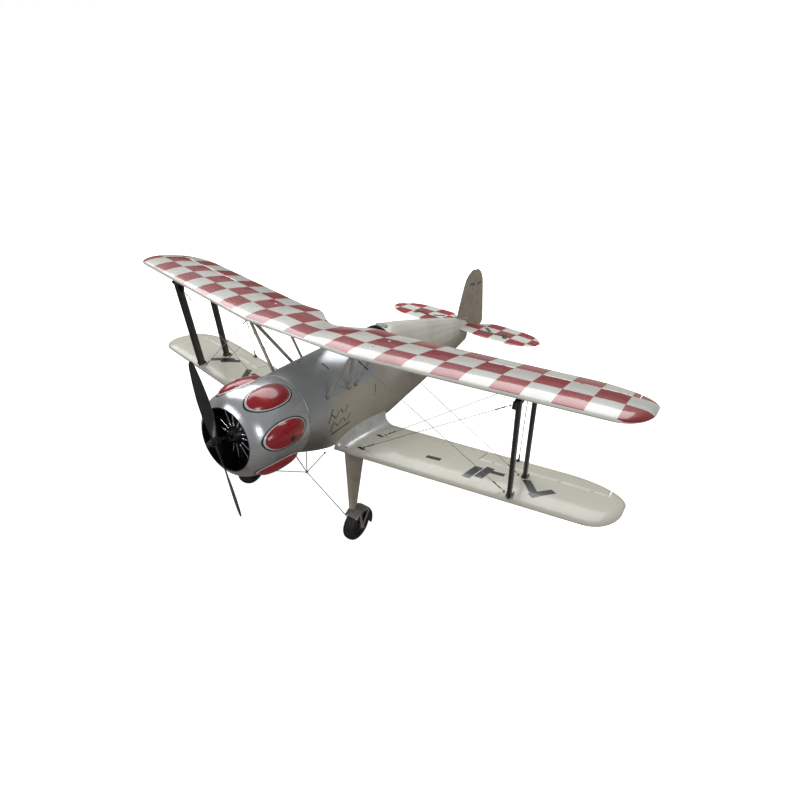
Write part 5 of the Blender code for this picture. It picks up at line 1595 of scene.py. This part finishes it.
# ---- nose ----
@dataclass
class Nose:
    """Cowling, dummy engine, propeller and its nut."""

    places: tuple = (-0.002, 0.003, 0.010, 0.024, 0.050, 0.085, 0.130, 0.171)
    radii: tuple = (0.0792, 0.0870, 0.0955, 0.1038, 0.1100, 0.1125, 0.1120, 0.107)
    lift: float = 0.0100

    def build(self) -> None:
        """Build the nose from the cowling inwards."""
        self.cowling()
        self.engine()
        self.propeller()

    def cowling(self) -> None:
        """Cowling with its ring of blisters.

        Formula: radius along the length from a rounded table, plus a blister of height
        sqrt(1 - (angle / half angle)^2 - |place / half length|^2.4) about each rocker.
        """
        y = np.concatenate([-0.002 + 0.060 * np.linspace(0.0, 1.0, 26) ** 1.6,
                            np.linspace(0.058, 0.171, 56)[1:]])
        turn = np.linspace(0.0, 2.0 * math.pi, BLISTERS * 32, endpoint=False)
        pitch = 2.0 * math.pi / BLISTERS
        off = np.mod(turn + math.pi / 2.0 + pitch / 2.0, pitch) - pitch / 2.0
        across = (off / BLISTER_HALF_ANGLE)[None] ** 2
        along = np.abs((y - BLISTER_Y) / BLISTER_HALF_LENGTH)[:, None] ** BLISTER_POWER
        raised = self.lift * np.sqrt(np.maximum(1.0 - across - along, 0.0))
        spread = np.minimum(0.006, (y + 0.0020) * 0.5)
        base = np.stack([np.interp(y + shift * spread, self.places, self.radii)
                         for shift in np.linspace(-1.0, 1.0, 9)]).mean(axis=0)
        radius = base[:, None] + raised
        points = np.stack([radius * np.cos(turn), np.repeat(y[:, None], len(turn), 1),
                           COWL_Z + radius * np.sin(turn)], axis=-1)
        make("cowling_skin", grid(points, wrap_columns=True), "airframe", COWL_PAINT,
             ("cowling",), sharp=50.0, wall=0.0012)
        # Painted shade: a near-black lining inside the cowling wall stands for the shade in it.
        liner = lathe(((-0.0021, 0.0790), (-0.0027, 0.0778), (-0.0018, 0.0765), (0.001, 0.0775),
                       (0.007, 0.0835), (0.024, 0.0995), (0.050, 0.1055), (0.085, 0.1085), (0.130, 0.1090),
                       (0.170, 0.1045), (0.170, 0.1055), (0.130, 0.1103), (0.085, 0.1100), (0.050, 0.1072),
                       (0.024, 0.1012), (0.007, 0.0852), (0.000, 0.0790)), 112, "Y", (0.0, 0.0, COWL_Z))
        make("cowling_shade_lining", liner, "airframe", COWL_SHADE_BLACK)
        # Painted shade: a near-black plate behind the engine fills the gap with shade.
        bulkhead = lathe(((0.0755, 0.0300), (0.0755, 0.1075), (0.0775, 0.1075), (0.0775, 0.0300)), 64, "Y",
                         (0.0, 0.0, COWL_Z))
        make("engine_shade_backplate", bulkhead, "airframe", COWL_SHADE_BLACK)
        ring = lathe(((0.171, 0.1072), (0.1735, 0.1060), (0.1735, 0.1010), (0.171, 0.1010)), 96, "Y",
                     (0.0, 0.0, COWL_Z))
        make("cowling_joint", ring, "airframe", GUARD_PAINT)

    def engine(self) -> None:
        """Seven finned cylinders with push rods round a domed crankcase."""
        fins = []
        for step in range(12):
            r = 0.0362 + step * 0.0027
            width = 0.0150 - 0.0022 * (step / 11.0) ** 2
            fins += [(r, 0.0112), (r, width), (r + 0.0011, width), (r + 0.0011, 0.0112)]
        fins += [(0.0692, 0.0098), (0.0728, 0.0070)]
        pot = lathe(tuple(fins), 28, "Z", closed=False)
        barrels, rods = NOTHING, NOTHING
        for n in range(BLISTERS):
            a = -math.pi / 2.0 + n * 2.0 * math.pi / BLISTERS
            way = np.array((math.cos(a), 0.0, math.sin(a)))
            across = np.array((-math.sin(a), 0.0, math.cos(a)))
            centre = np.array((0.0, 0.0580, COWL_Z))
            barrel = aim(pot, centre, way)
            barrels += barrel
            for sign in (-1.0, 1.0):
                foot = np.array((0.0, 0.0300, COWL_Z)) + way * 0.0235 + across * sign * 0.0050
                head = np.array((0.0, 0.0330, COWL_Z)) + way * 0.0800 + across * sign * 0.0140
                piece = rod(foot, head, 0.0015, 12)
                cuff = aim(lathe(((0.0, 0.0026), (0.0060, 0.0026), (0.0070, 0.0018)), 14, "Z", closed=False),
                           foot, head - foot)
                rods += piece + cuff
        case = lathe(((0.074, 0.0335), (0.040, 0.0335), (0.036, 0.0290), (0.031, 0.0225), (0.026, 0.0195),
                      (0.019, 0.0150), (0.016, 0.0118), (0.016, 0.0085), (0.074, 0.0085)), 56, "Y",
                     (0.0, 0.0, COWL_Z * 0.6))
        bolts = NOTHING
        for n in range(BLISTERS * 2):
            a = n * math.pi / BLISTERS + 0.2
            spot = (0.0265 * math.cos(a), 0.0335, COWL_Z * 0.6 + 0.0265 * math.sin(a))
            piece = lathe(((-0.0008, 0.0016), (0.0030, 0.0016)), 6, "Y", spot, closed=False)
            bolts += piece
        make("engine_cylinders", barrels, "airframe", ENGINE_BLACK, ("dummy_engine",))
        make("engine_case", case, "airframe", ENGINE_GREY, sharp=30.0)
        make("engine_case_bolts", bolts, "airframe", STEEL)
        make("engine_push_rods", rods, "airframe", BRIGHT)

    def propeller(self) -> None:
        """Two-blade propeller.

        Formula: a cambered streamlined section whose chord, thickness and pitch are read along
        the radius, turned through the pitch and then through the blade's resting angle.
        """
        r_at = (0.0, 0.012, 0.030, 0.060, 0.100, 0.140, 0.172, 0.1835, PROP_R)
        chord = (0.0140, 0.0150, 0.0190, 0.0270, 0.0300, 0.0260, 0.0190, 0.0135, 0.0050)
        thick = (0.0095, 0.0090, 0.0070, 0.0050, 0.0038, 0.0028, 0.0020, 0.0015, 0.0010)
        pitch = (90.0, 68.0, 50.0, 35.0, 25.0, 19.0, 15.0, 14.0, 13.0)
        r = PROP_R * np.sin(np.linspace(-math.pi / 2.0, math.pi / 2.0, 121))
        reach = np.abs(r)
        c, t, p = (rounded(reach, r_at, column, 0.0015)[:, None] for column in (chord, thick, pitch))
        p = np.radians(np.where(r[:, None] < 0.0, 180.0 - p, p))
        turn = np.linspace(0.0, 2.0 * math.pi, 28, endpoint=False)
        a = (-0.5 * np.cos(turn))[None] * c
        b = (0.5 * np.sin(turn) * np.where(np.sin(turn) > 0.0, 1.0, 0.55))[None] * t
        y = PROP_Y - a * np.sin(p) + b * np.cos(p)
        z = a * np.cos(p) + b * np.sin(p)
        points = np.stack([np.repeat(r[:, None], 28, 1), y, z], axis=-1)
        spin = np.array(Matrix.Rotation(-PROP_ANGLE, 3, "Y"))
        blade = grid(points @ spin.T, wrap_columns=True, caps=True)
        hub = lathe(((-0.0365, 0.0046), (-0.0365, 0.0092), (-0.0350, 0.0105), (-0.0215, 0.0105),
                     (-0.0205, 0.0098), (-0.0205, 0.0046)), 48, "Y")
        make("propeller_blades", blade, "propeller", PROP_BLACK, ("propeller",))
        make("propeller_hub", hub, "propeller", PROP_BLACK, bevel=0.0003)
        nut = lathe(((-0.0372, 0.0045), (-0.0372, 0.0098), (-0.0390, 0.0098), (-0.0390, 0.0072),
                     (-0.0440, 0.0072), (-0.0500, 0.0058), (-0.0530, 0.0030), (-0.0538, 0.0004)), 32, "Y",
                     closed=False)
        make("propeller_nut", nut, "propeller", ENGINE_BLACK, ("prop_nut",), sharp=30.0)


# ---- rigging ----
@dataclass
class Rigging:
    """Interplane struts, cabane struts and wires."""

    strut_x: float = 0.5675
    strut_top_x: float = 0.5615
    cabane_x: float = 0.1660

    def build(self, fuselage: Fuselage) -> None:
        """Build the struts and wires of both sides."""
        for side in Side:
            self.struts(side)
            self.cabane(side, fuselage)
            self.wires(side)

    def struts(self, side: Side) -> None:
        """Front and rear struts with their foot plates and the wire bracket.

        Args:
            side: Side of the model.
        """
        for label, low_u, top_u, chord in (("front", 0.0185, 0.0190, 0.0270),
                                           ("rear", 0.1285, 0.1335, 0.0242)):
            foot = LOWER.on(side.value * self.strut_x, low_u, lift=0.0010)
            head = UPPER.on(side.value * self.strut_top_x, top_u, True, 0.0010)
            shaft = fairing(foot, head, (chord, chord), (0.0115, 0.0115), 30)
            make(f"strut_{label}_shaft_{side.tag}", shaft, "airframe", STRUT_BLACK,
                 (f"strut_{label}_{side.tag}",))
            plates = NOTHING
            for spot, sign in ((foot, 1.0), (head, -1.0)):
                y, z = spot[1], spot[2]
                outline = ((y - 0.016, z - sign * 0.0008), (y - 0.010, z + sign * 0.010),
                           (y + 0.010, z + sign * 0.010), (y + 0.016, z - sign * 0.0008))
                for offset in (-0.0064, 0.0064):
                    piece = plate(outline, spot[0] + offset - 0.0005, spot[0] + offset + 0.0005, "X")
                    piece = piece + lathe(((-0.0012, 0.0018), (0.0012, 0.0018)), 12, "X",
                                          (spot[0] + offset, y, z + sign * 0.0055), closed=False)
                    plates += piece
            make(f"strut_{label}_feet_{side.tag}", plates, "airframe", STEEL_DARK)
            if label == "front":
                mid = foot + (head - foot) * 0.885
                tab = block(mid - (0.0175 if side is Side.PORT else 0.0, 0.0022, 0.0),
                            mid + (0.0 if side is Side.PORT else 0.0175, 0.0022, 0.0200))
                make(f"wire_bracket_{side.tag}", tab, "airframe", STRUT_BLACK, bevel=0.0012)

    def cabane(self, side: Side, fuselage: Fuselage) -> None:
        """Three struts from the fuselage shoulder to the upper wing.

        Args:
            side: Side of the model.
            fuselage: The fuselage, whose skin the piece meets.
        """
        total, feet = NOTHING, NOTHING
        for y, top_u, chord in ((0.255, 0.0240, 0.0090), (0.345, 0.0320, 0.0100), (0.377, 0.1380, 0.0080)):
            x = float(fuselage.side_x(np.array([y]), np.array([0.049]))[0])
            foot = np.array((side.value * (x - 0.001), y, 0.049))
            head = UPPER.on(side.value * self.cabane_x, top_u, True, 0.0004)
            shaft = fairing(foot, head, (chord * 1.1, chord * 1.1), (0.0070, 0.0070), 20)
            if chord == 0.0080:
                make(f"cabane_rear_shaft_{side.tag}", shaft, "airframe", CABANE_PAINT,
                     (f"cabane_rear_{side.tag}",))
            else:
                total += shaft
            base = ball(foot, (0.0035, 0.0085, 0.0065), 10, 18)
            feet += base
        make(f"cabane_front_shafts_{side.tag}", total, "airframe", CABANE_PAINT,
             (f"cabane_front_{side.tag}",))
        make(f"cabane_feet_{side.tag}", feet, "airframe", STEEL_DARK)

    def wires(self, side: Side) -> None:
        """Flying and landing wires with a turnbuckle near each end.

        Args:
            side: Side of the model.
        """
        plan = (
            ("flying_wire_front", LOWER, 0.155, 0.036, False, UPPER, 0.5420, 0.0290, True, 0.0250),
            ("flying_wire_rear", LOWER, 0.158, 0.140, False, UPPER, 0.5440, 0.1450, True, 0.0016),
            ("landing_wire_front", UPPER, 0.176, 0.022, True, LOWER, 0.5500, 0.0260, False, 0.0016),
            ("landing_wire_rear", UPPER, 0.176, 0.138, True, LOWER, 0.5500, 0.1280, False, 0.0016),
        )
        barrel = lathe(((0.000, 0.0007), (0.002, 0.0016), (0.010, 0.0016), (0.012, 0.0011), (0.018, 0.0011),
                        (0.020, 0.0016), (0.028, 0.0016), (0.030, 0.0007)), 14, "Z", closed=False)
        for label, plane_a, x_a, u_a, low_a, plane_b, x_b, u_b, low_b, clear in plan:
            start = plane_a.on(side.value * x_a, u_a, low_a, 0.0012)
            end = plane_b.on(side.value * x_b, u_b, low_b, clear)
            make(f"{label}_strand_{side.tag}", rod(start, end, 0.0008, 10), "airframe", WIRE_METAL,
                 (f"{label}_{side.tag}",))
            along = (end - start) / np.linalg.norm(end - start)
            fittings = aim(barrel, start + along * 0.012, along) + aim(barrel, end - along * 0.012, -along)
            for spot in (start, end):
                fittings = fittings + ball(spot, (0.0022, 0.0026, 0.0022), 8, 12)
            make(f"{label}_turnbuckles_{side.tag}", fittings, "airframe", PLASTIC)


# ---- undercarriage ----
@dataclass
class Undercarriage:
    """Legs, mudguards, wheels and the bracing between them."""

    radius: float = 0.048

    def build(self) -> None:
        """Build both sides and the bracing."""
        for side in Side:
            self.leg(side)
            self.mudguard(side)
            self.wheel(side)
        self.spider()

    def leg(self, side: Side) -> None:
        """Tapered leg fairing from the wing root to the mudguard."""
        nose = float(LOWER.nose(np.float64(0.122))[0])
        root = LOWER.on(side.value * 0.122, 0.3560 - nose, True, -0.0010)
        low = np.array((side.value * 0.1965, 0.2655, -0.2556))
        make(f"gear_leg_fairing_{side.tag}", fairing(low, root, (0.0245, 0.0820), (0.0110, 0.0165), 40),
             "airframe", LEG_PAINT, (f"gear_leg_{side.tag}",))

    def mudguard(self, side: Side) -> None:
        """Mudguard with its axle brackets.

        Formula: a lip-shaped section swept round the wheel, x across and r outwards.

        Args:
            side: Side of the model.
        """
        centre = WHEEL * np.array((side.value, 1.0, 1.0))
        share = np.linspace(-1.0, 1.0, 21)
        outer = np.stack([0.0208 * share, 0.0550 - 0.0062 * np.abs(share) ** 5], axis=-1)
        inner = np.stack([0.0196 * share[::-1], 0.0538 - 0.0052 * np.abs(share[::-1]) ** 5], axis=-1)
        lip = np.vstack([outer, inner])
        turn = np.radians(np.linspace(50.0, 197.0, 44))[:, None]
        points = np.stack([lip[:, 0] + 0.0 * turn, -lip[:, 1] * np.cos(turn), lip[:, 1] * np.sin(turn)],
                          axis=-1)
        guard = grid(points + centre, wrap_columns=True, caps=True)
        make(f"mudguard_shell_{side.tag}", guard, "airframe", GUARD_PAINT,
             (f"mudguard_{side.tag}",))
        outline = ((-0.0060, -0.0050), (0.0, -0.0080), (0.0060, -0.0050), (0.0290, 0.0415), (0.0200, 0.0470),
                   (0.0010, 0.0100), (-0.0110, 0.0500), (-0.0200, 0.0470))
        shape = tuple((centre[1] + y, centre[2] + z) for y, z in outline)
        plates = plate(shape, centre[0] + 0.0190, centre[0] + 0.0206, "X")
        plates = plates + plate(shape, centre[0] - 0.0206, centre[0] - 0.0190, "X")
        axle = lathe(((-0.0235, 0.0028), (-0.0232, 0.0038), (0.0232, 0.0038), (0.0258, 0.0028)), 18, "X",
                     tuple(centre), closed=False)
        nuts = lathe(((0.0206, 0.0060), (0.0242, 0.0060), (0.0246, 0.0050)), 6, "X", tuple(centre),
                     closed=False)
        nuts = nuts + lathe(((-0.0246, 0.0050), (-0.0242, 0.0060), (-0.0206, 0.0060)), 6, "X", tuple(centre),
                            closed=False)
        make(f"axle_brackets_{side.tag}", plates + axle + nuts, "airframe", BRACKET)

    def wheel(self, side: Side) -> None:
        """Tyre with tread grooves, and a dished hub with bolts.

        Formula: half a superellipse revolved, its radius notched by the grooves.

        Args:
            side: Side of the model.
        """
        centre = tuple(WHEEL * np.array((side.value, 1.0, 1.0)))
        body = f"main_wheel_{side.tag}"
        turn = np.linspace(-math.pi / 2.0, math.pi / 2.0, 61)
        across = 0.0163 * np.sign(np.sin(turn)) * np.abs(np.sin(turn)) ** 0.8
        away = 0.0285 + (self.radius - 0.0285) * np.abs(np.cos(turn)) ** 0.62
        groove = 0.0009 * (np.abs(np.mod(across + 0.0020,
                                         0.0040) - 0.0020) < 0.0004) * (np.abs(across) < 0.0115)
        profile = [(float(a), float(r)) for a, r in zip(across, away - groove)]
        tyre = lathe(tuple(profile + [(0.0120, 0.0262), (-0.0120, 0.0262)]), 72, "X", centre)
        make(f"{body}_tyre", tyre, body, TYRE, (body,), sharp=50.0)
        hub = lathe(((-0.0120, 0.0048), (-0.0120, 0.0092), (-0.0085, 0.0105), (-0.0065, 0.0130),
                     (-0.0060, 0.0225), (-0.0095, 0.0262), (-0.0138, 0.0272), (-0.0138, 0.0288),
                     (0.0138, 0.0288), (0.0138, 0.0272), (0.0095, 0.0262), (0.0060, 0.0225), (0.0065, 0.0130),
                     (0.0085, 0.0105), (0.0120, 0.0092), (0.0120, 0.0048)), 64, "X", centre)
        for n in range(6):
            a = n * math.pi / 3.0
            spot = (centre[0], centre[1] + 0.0178 * math.cos(a), centre[2] + 0.0178 * math.sin(a))
            hub = hub + lathe(((-0.0078, 0.0016), (0.0078, 0.0016)), 8, "X", spot, closed=False)
        make(f"{body}_hub", hub, body, HUB_GREY, sharp=30.0)

    def spider(self) -> None:
        """Bracing rods that meet in a ball below the belly."""
        node = np.array((0.0, 0.302, -0.240))
        total = ball(node, (0.0046, 0.0046, 0.0044), 10, 18)
        feet = NOTHING
        for sign in (-1.0, 1.0):
            for x, y, z in ((0.038, 0.246, -0.1272), (0.082, 0.272, -0.1268), (0.1775, 0.276, -0.300)):
                end = np.array((sign * x, y, z))
                total = total + rod(node, end, 0.0013, 10)
                foot = ball(end, (0.0034, 0.0034, 0.0022), 8, 14)
                feet += foot
        make("spider_rods", total, "airframe", STEEL, ("undercarriage_spider",))
        make("spider_feet", feet, "airframe", STEEL_DARK)


# ---- tail ----
@dataclass
class Tail:
    """Fin, rudder, tailplane, elevator, and the tail wheel with its spring and fork."""

    fin_levels: tuple = (0.0, 0.110, 0.150, 0.190, 0.216, 0.235, 0.2465)
    fin_front: tuple = (1.1600, 1.1700, 1.1770, 1.1850, 1.1950, 1.2130, 1.2420)
    rudder_levels: tuple = (-0.013, -0.006, 0.010, 0.060, 0.120, 0.170, 0.205, 0.232, 0.2460)
    rudder_rear: tuple = (1.4080, 1.4270, 1.4360, 1.4170, 1.3910, 1.3700, 1.3530, 1.3260, 1.2950)
    stab_x: tuple = (0.0, 0.070, 0.110, 0.180, 0.240, 0.285, 0.308, 0.3185)
    stab_front: tuple = (1.1600, 1.1440, 1.1380, 1.1370, 1.1440, 1.1660, 1.1950, 1.2250)
    elev_x: tuple = (0.0215, 0.040, 0.070, 0.095, 0.150, 0.220, 0.262, 0.295, 0.314, 0.3215)
    elev_rear: tuple = (1.2560, 1.2820, 1.3200, 1.3460, 1.3480, 1.3450, 1.3340, 1.3100, 1.2780, 1.2540)

    def build(self, fuselage: Fuselage) -> None:
        """Build the tail group.

        Args:
            fuselage: The fuselage, whose skin the piece meets.
        """
        self.fin(fuselage)
        self.rudder()
        for side in Side:
            self.stabilizer(side, fuselage)
        self.elevator()
        self.wheel()

    @staticmethod
    def thin(reach: np.ndarray, start: float, length: float) -> np.ndarray:
        """Thickness factor that eases down to under half towards a tip."""
        e = np.clip((reach - start) / length, 0.0, 1.0)
        return 1.0 - 0.60 * e * e * (3.0 - 2.0 * e)

    def fin(self, fuselage: Fuselage) -> None:
        """Fixed fin.

        Formula: at each height an elliptical nose that runs back to a square post.

        Args:
            fuselage: The fuselage, whose skin the piece meets.
        """
        level = np.concatenate([np.linspace(0.045, 0.20, 26),
                                0.20 + 0.0465 * np.sin(np.linspace(0.1, math.pi / 2, 14))])
        front = rounded(level, self.fin_levels, self.fin_front, 0.006)[:, None]
        thick = 0.0042 * self.thin(level, 0.20, 0.05)[:, None]
        post = RUDDER_HINGE_Y - 0.0058
        f = np.linspace(0.0, 1.0, 14)[None]
        half = thick * np.sqrt(1.0 - np.clip(1.0 - f * 2.4, 0.0, 1.0) ** 2)
        y = front + (post - front) * f
        x = np.hstack([half, -half[:, ::-1]])
        y = np.hstack([y, y[:, ::-1]])
        points = np.stack([x, y, np.repeat(level[:, None], 28, 1)], axis=-1)
        make("fin_skin", grid(points, wrap_columns=True, caps=True), "airframe", FIN_PAINT,
             ("fin",))
        y = np.linspace(1.150, 1.256, 26)
        foot = fuselage.top_z(np.minimum(y, FUS_REAR), 0.0 * y) - 0.0006
        strip = np.linspace(-1.0, 1.0, 13)[None]
        flare = 0.0085 * np.sin(np.linspace(0.0, math.pi * 0.55, 26))[:, None] + 0.0035
        points = np.stack([strip * flare, np.repeat(y[:, None], 13, 1),
                           foot[:, None] + 0.0060 * (1.0 - np.abs(strip)) ** 1.5], axis=-1)
        base = points - np.array((0.0, 0.0, 0.0070))
        loop = np.concatenate([points, base[:, ::-1]], axis=1)
        make("fin_base", grid(loop, wrap_columns=True, caps=True), "airframe", FIN_PAINT)

    def rudder(self) -> None:
        """Rudder with a round nose on its hinge line.

        Formula: at each height half a circle at the post, then a wedge back to the edge.
        """
        low = -0.013 + 0.023 * (1.0 - np.cos(np.linspace(0.0, math.pi / 2.0, 12)))
        level = np.concatenate([low, np.linspace(0.013, 0.20, 40),
                                0.20 + 0.046 * np.sin(np.linspace(0.08, math.pi / 2, 16))])
        rear = rounded(level, self.rudder_levels, self.rudder_rear, 0.006)[:, None]
        r = 0.0042 * self.thin(level, 0.20, 0.05)[:, None]
        f = np.linspace(0.0, 1.0, 12)[None]
        half = r * (1.0 - f * 0.86)
        y = RUDDER_HINGE_Y + (rear - RUDDER_HINGE_Y) * f
        turn = np.radians(np.linspace(180.0, 90.0, 7))[None, :-1]
        nose_x = r * np.sin(turn)
        nose_y = RUDDER_HINGE_Y + r * np.cos(turn)
        x = np.hstack([nose_x, half, -half[:, ::-1], -nose_x[:, :0:-1]])
        y = np.hstack([nose_y, y, y[:, ::-1], nose_y[:, :0:-1]])
        points = np.stack([x, y, np.repeat(level[:, None], x.shape[1], 1)], axis=-1)
        make("rudder_skin", grid(points, wrap_columns=True, caps=True), "rudder", FIN_PAINT,
             ("rudder",))

    def stabilizer(self, side: Side, fuselage: Fuselage) -> None:
        """Tailplane half.

        Formula: an elliptical nose at each span position that runs back to a square rear spar.

        Args:
            side: Side of the model.
            fuselage: The fuselage, whose skin the piece meets.
        """
        x = 0.3185 * np.sin(np.linspace(0.0, math.pi / 2.0, 44))
        front = rounded(x, self.stab_x, self.stab_front, 0.010)[:, None]
        thick = 0.0043 * self.thin(x, 0.22, 0.10)[:, None]
        rear = ELEV_HINGE_Y - 0.0060
        f = np.linspace(0.0, 1.0, 16)[None]
        half = thick * np.sqrt(1.0 - np.clip(1.0 - f * 3.0, 0.0, 1.0) ** 2)
        y = front + (rear - front) * f
        y = np.hstack([y, y[:, ::-1]])
        z = STAB_Z + np.hstack([half, -half[:, ::-1]])
        across = np.repeat(x[:, None], 32, 1)
        root = fuselage.side_x(np.minimum(y[0], FUS_REAR), z[0]) - 0.0004
        across = np.maximum(across, root[None])
        points = np.stack([side.value * across, y, z], axis=-1)
        make(f"stabilizer_skin_{side.tag}", grid(points, wrap_columns=True, caps=True), "airframe",
             TAIL_FILM, (f"stabilizer_{side.tag}",))

    def elevator(self) -> None:
        """One-piece elevator: two wedges with round noses, and the joiner between them."""
        total = NOTHING
        for side in Side:
            x = 0.0215 + 0.3000 * np.sin(np.linspace(0.0, math.pi / 2.0, 56))
            rear = rounded(x, self.elev_x, self.elev_rear, 0.006)[:, None]
            r = 0.0043 * self.thin(x, 0.22, 0.10)[:, None]
            f = np.linspace(0.0, 1.0, 12)[None]
            half = r * (1.0 - f * 0.86)
            y = ELEV_HINGE_Y + (rear - ELEV_HINGE_Y) * f
            turn = np.radians(np.linspace(180.0, 90.0, 7))[None, :-1]
            nose_z = r * np.sin(turn)
            nose_y = ELEV_HINGE_Y + r * np.cos(turn)
            z = np.hstack([nose_z, half, -half[:, ::-1], -nose_z[:, :0:-1]])
            y = np.hstack([nose_y, y, y[:, ::-1], nose_y[:, :0:-1]])
            points = np.stack([side.value * np.repeat(x[:, None], z.shape[1], 1), y, STAB_Z + z], axis=-1)
            piece = grid(points, wrap_columns=True, caps=True)
            total += piece
        make("elevator_skin", total, "elevator", TAIL_FILM, ("elevator",))
        bar = rod((-0.0225, ELEV_HINGE_Y, STAB_Z), (0.0225, ELEV_HINGE_Y, STAB_Z), 0.0019, 14)
        make("elevator_joiner", bar, "elevator", STEEL)

    def wheel(self) -> None:
        """Leaf spring, steering fork and tail wheel."""
        y = np.linspace(1.065, 1.2005, 30)
        z = rounded(y, (1.065, 1.105, 1.140, 1.167, 1.2005), (-0.0715, -0.0700, -0.0715, -0.0768, -0.0846),
                    0.008)
        half = np.interp(y, (1.065, 1.2005), (0.0070, 0.0055))
        section = np.array(((-1.0, -0.0020), (-0.9, -0.0022), (0.9, -0.0022), (1.0, -0.0020), (1.0, -0.0002),
                            (0.9, 0.0), (-0.9, 0.0), (-1.0, -0.0002)))
        points = np.stack([half[:, None] * section[:, 0], np.repeat(y[:, None], 8, 1),
                           z[:, None] + section[:, 1]], axis=-1)
        make("tail_spring_leaf", grid(points, wrap_columns=True, caps=True), "airframe",
             ENGINE_BLACK, ("tail_spring",))
        bracket = block((-0.0080, 1.056, -0.0738), (0.0080, 1.092, -0.0660))
        make("tail_spring_clamp", bracket, "airframe", LEG_PAINT, bevel=0.0012)
        top = block((-0.0115, 1.1860, -0.0908), (0.0115, 1.2040, -0.0884))
        outline = ((1.1885, -0.0891), (1.2015, -0.0891), (1.2100, -0.1128), (1.2050, -0.1153),
                   (1.2000, -0.1128))
        cheeks = plate(outline, 0.0082, 0.0102, "X") + plate(outline, -0.0102, -0.0082, "X")
        pin = lathe(((-0.0120, 0.0019), (0.0120, 0.0019)), 16, "X", TAIL_WHEEL_AT, closed=False)
        make("tail_fork_frame", top + cheeks + pin, "tail_fork", STEEL, ("tail_fork",), bevel=0.0004)
        profile = ((-0.0068, 0.0024), (-0.0068, 0.0075), (-0.0050, 0.0085), (-0.0050, 0.0105),
                   (-0.0066, 0.0115), (-0.0068, 0.0130), (-0.0060, 0.0152), (-0.0035, 0.0166), (0.0, 0.0170),
                   (0.0035, 0.0166), (0.0060, 0.0152), (0.0068, 0.0130), (0.0066, 0.0115), (0.0050, 0.0105),
                   (0.0050, 0.0085), (0.0068, 0.0075), (0.0068, 0.0024))
        make("tail_wheel_tyre", lathe(profile, 48, "X", TAIL_WHEEL_AT), "tail_wheel", TYRE,
             ("tail_wheel",), sharp=45.0)


# ---- studio ----
@dataclass
class Studio:
    """Pale floor, soft lights and the camera."""

    camera_at: tuple = (0.8679, -1.2547, 1.2464)
    camera_turn: tuple = (53.077, 0.388, 32.898)
    lens: float = 24.871
    ambient: float = 0.25
    reach: float = 60.0
    floor_glow: float = 0.85
    lights: tuple = (("overhead", (-1.2, 2.05, 2.65), (6.0, 2.4), 150.0),
                     ("side", (3.2, -1.6, 1.9), (1.6, 1.2), 34.0),
                     ("front", (-1.6, -3.2, 2.6), (2.4, 1.2), 40.0))

    def build(self) -> None:
        """Set out the floor, the lights and the camera."""
        mesh = bpy.data.meshes.new("studio_floor")
        mesh.from_pydata([(-self.reach, -self.reach, 0.0), (self.reach, -self.reach, 0.0),
                          (self.reach, self.reach, 0.0), (-self.reach, self.reach, 0.0)],
                         [], [(0, 1, 2, 3)])
        floor = bpy.data.objects.new("studio_floor", mesh)
        mesh.materials.append(self.floor_finish())
        bpy.context.scene.collection.objects.link(floor)
        world = bpy.data.worlds.new("studio")
        world.use_nodes = True
        graph = Graph(world.node_tree)
        background = world.node_tree.nodes["Background"]
        seen = graph.add("ShaderNodeLightPath").outputs["Is Camera Ray"]
        background.inputs["Color"].default_value = (1.0, 1.0, 1.0, 1.0)
        graph.put(background.inputs["Strength"], graph.scale(seen, 0.0, 1.0, self.ambient, 1.0))
        bpy.context.scene.world = world
        bpy.context.scene.view_settings.view_transform = "Standard"
        for name, at, size, power in self.lights:
            self.area(name, at, size, power)
        camera = bpy.data.cameras.new("camera")
        camera.lens = self.lens
        camera.sensor_width = 36.0
        obj = bpy.data.objects.new("camera", camera)
        obj.location = self.camera_at
        obj.rotation_euler = [math.radians(part) for part in self.camera_turn]
        bpy.context.scene.collection.objects.link(obj)
        bpy.context.scene.camera = obj

    def floor_finish(self) -> bpy.types.Material:
        """Pale floor that throws only a little of its light back up.

        Returns:
            The floor's material.
        """
        made = bpy.data.materials.new("studio_floor_finish")
        made.use_nodes = True
        graph = Graph(made.node_tree)
        shader = made.node_tree.nodes["Principled BSDF"]
        seen = graph.add("ShaderNodeLightPath").outputs["Is Camera Ray"]
        graph.put(shader.inputs["Base Color"], graph.mix(seen, (0.30, 0.285, 0.26), (0.95, 0.95, 0.95)))
        shader.inputs["Roughness"].default_value = 0.95
        shader.inputs["Specular IOR Level"].default_value = 0.1
        shader.inputs["Emission Color"].default_value = (1.0, 1.0, 1.0, 1.0)
        graph.put(shader.inputs["Emission Strength"], graph.math("MULTIPLY", seen, self.floor_glow))
        return made

    @staticmethod
    def area(name: str, at: tuple, size: tuple, power: float) -> None:
        """Soft oblong light aimed at the model.

        Args:
            name: Name of the light.
            at: Where it hangs.
            size: Its width and height.
            power: Its power in watts.
        """
        light = bpy.data.lights.new(name, "AREA")
        light.shape = "RECTANGLE"
        light.size, light.size_y = size
        light.energy = power
        obj = bpy.data.objects.new(name, light)
        obj.location = at
        obj.rotation_euler = (Vector((0.0, 0.0, 0.3)) - Vector(at)).to_track_quat("-Z", "Y").to_euler()
        bpy.context.scene.collection.objects.link(obj)


def main() -> None:
    """Build the studio and every sub-assembly."""
    logging.basicConfig(level=logging.INFO, format="%(name)s %(message)s")
    Studio().build()
    Nose().build()
    fuselage = Fuselage()
    fuselage.build()
    Wings().build()
    Rigging().build(fuselage)
    Undercarriage().build()
    Tail().build(fuselage)
    bpy.context.view_layer.update()


if __name__ == "__main__":
    main()
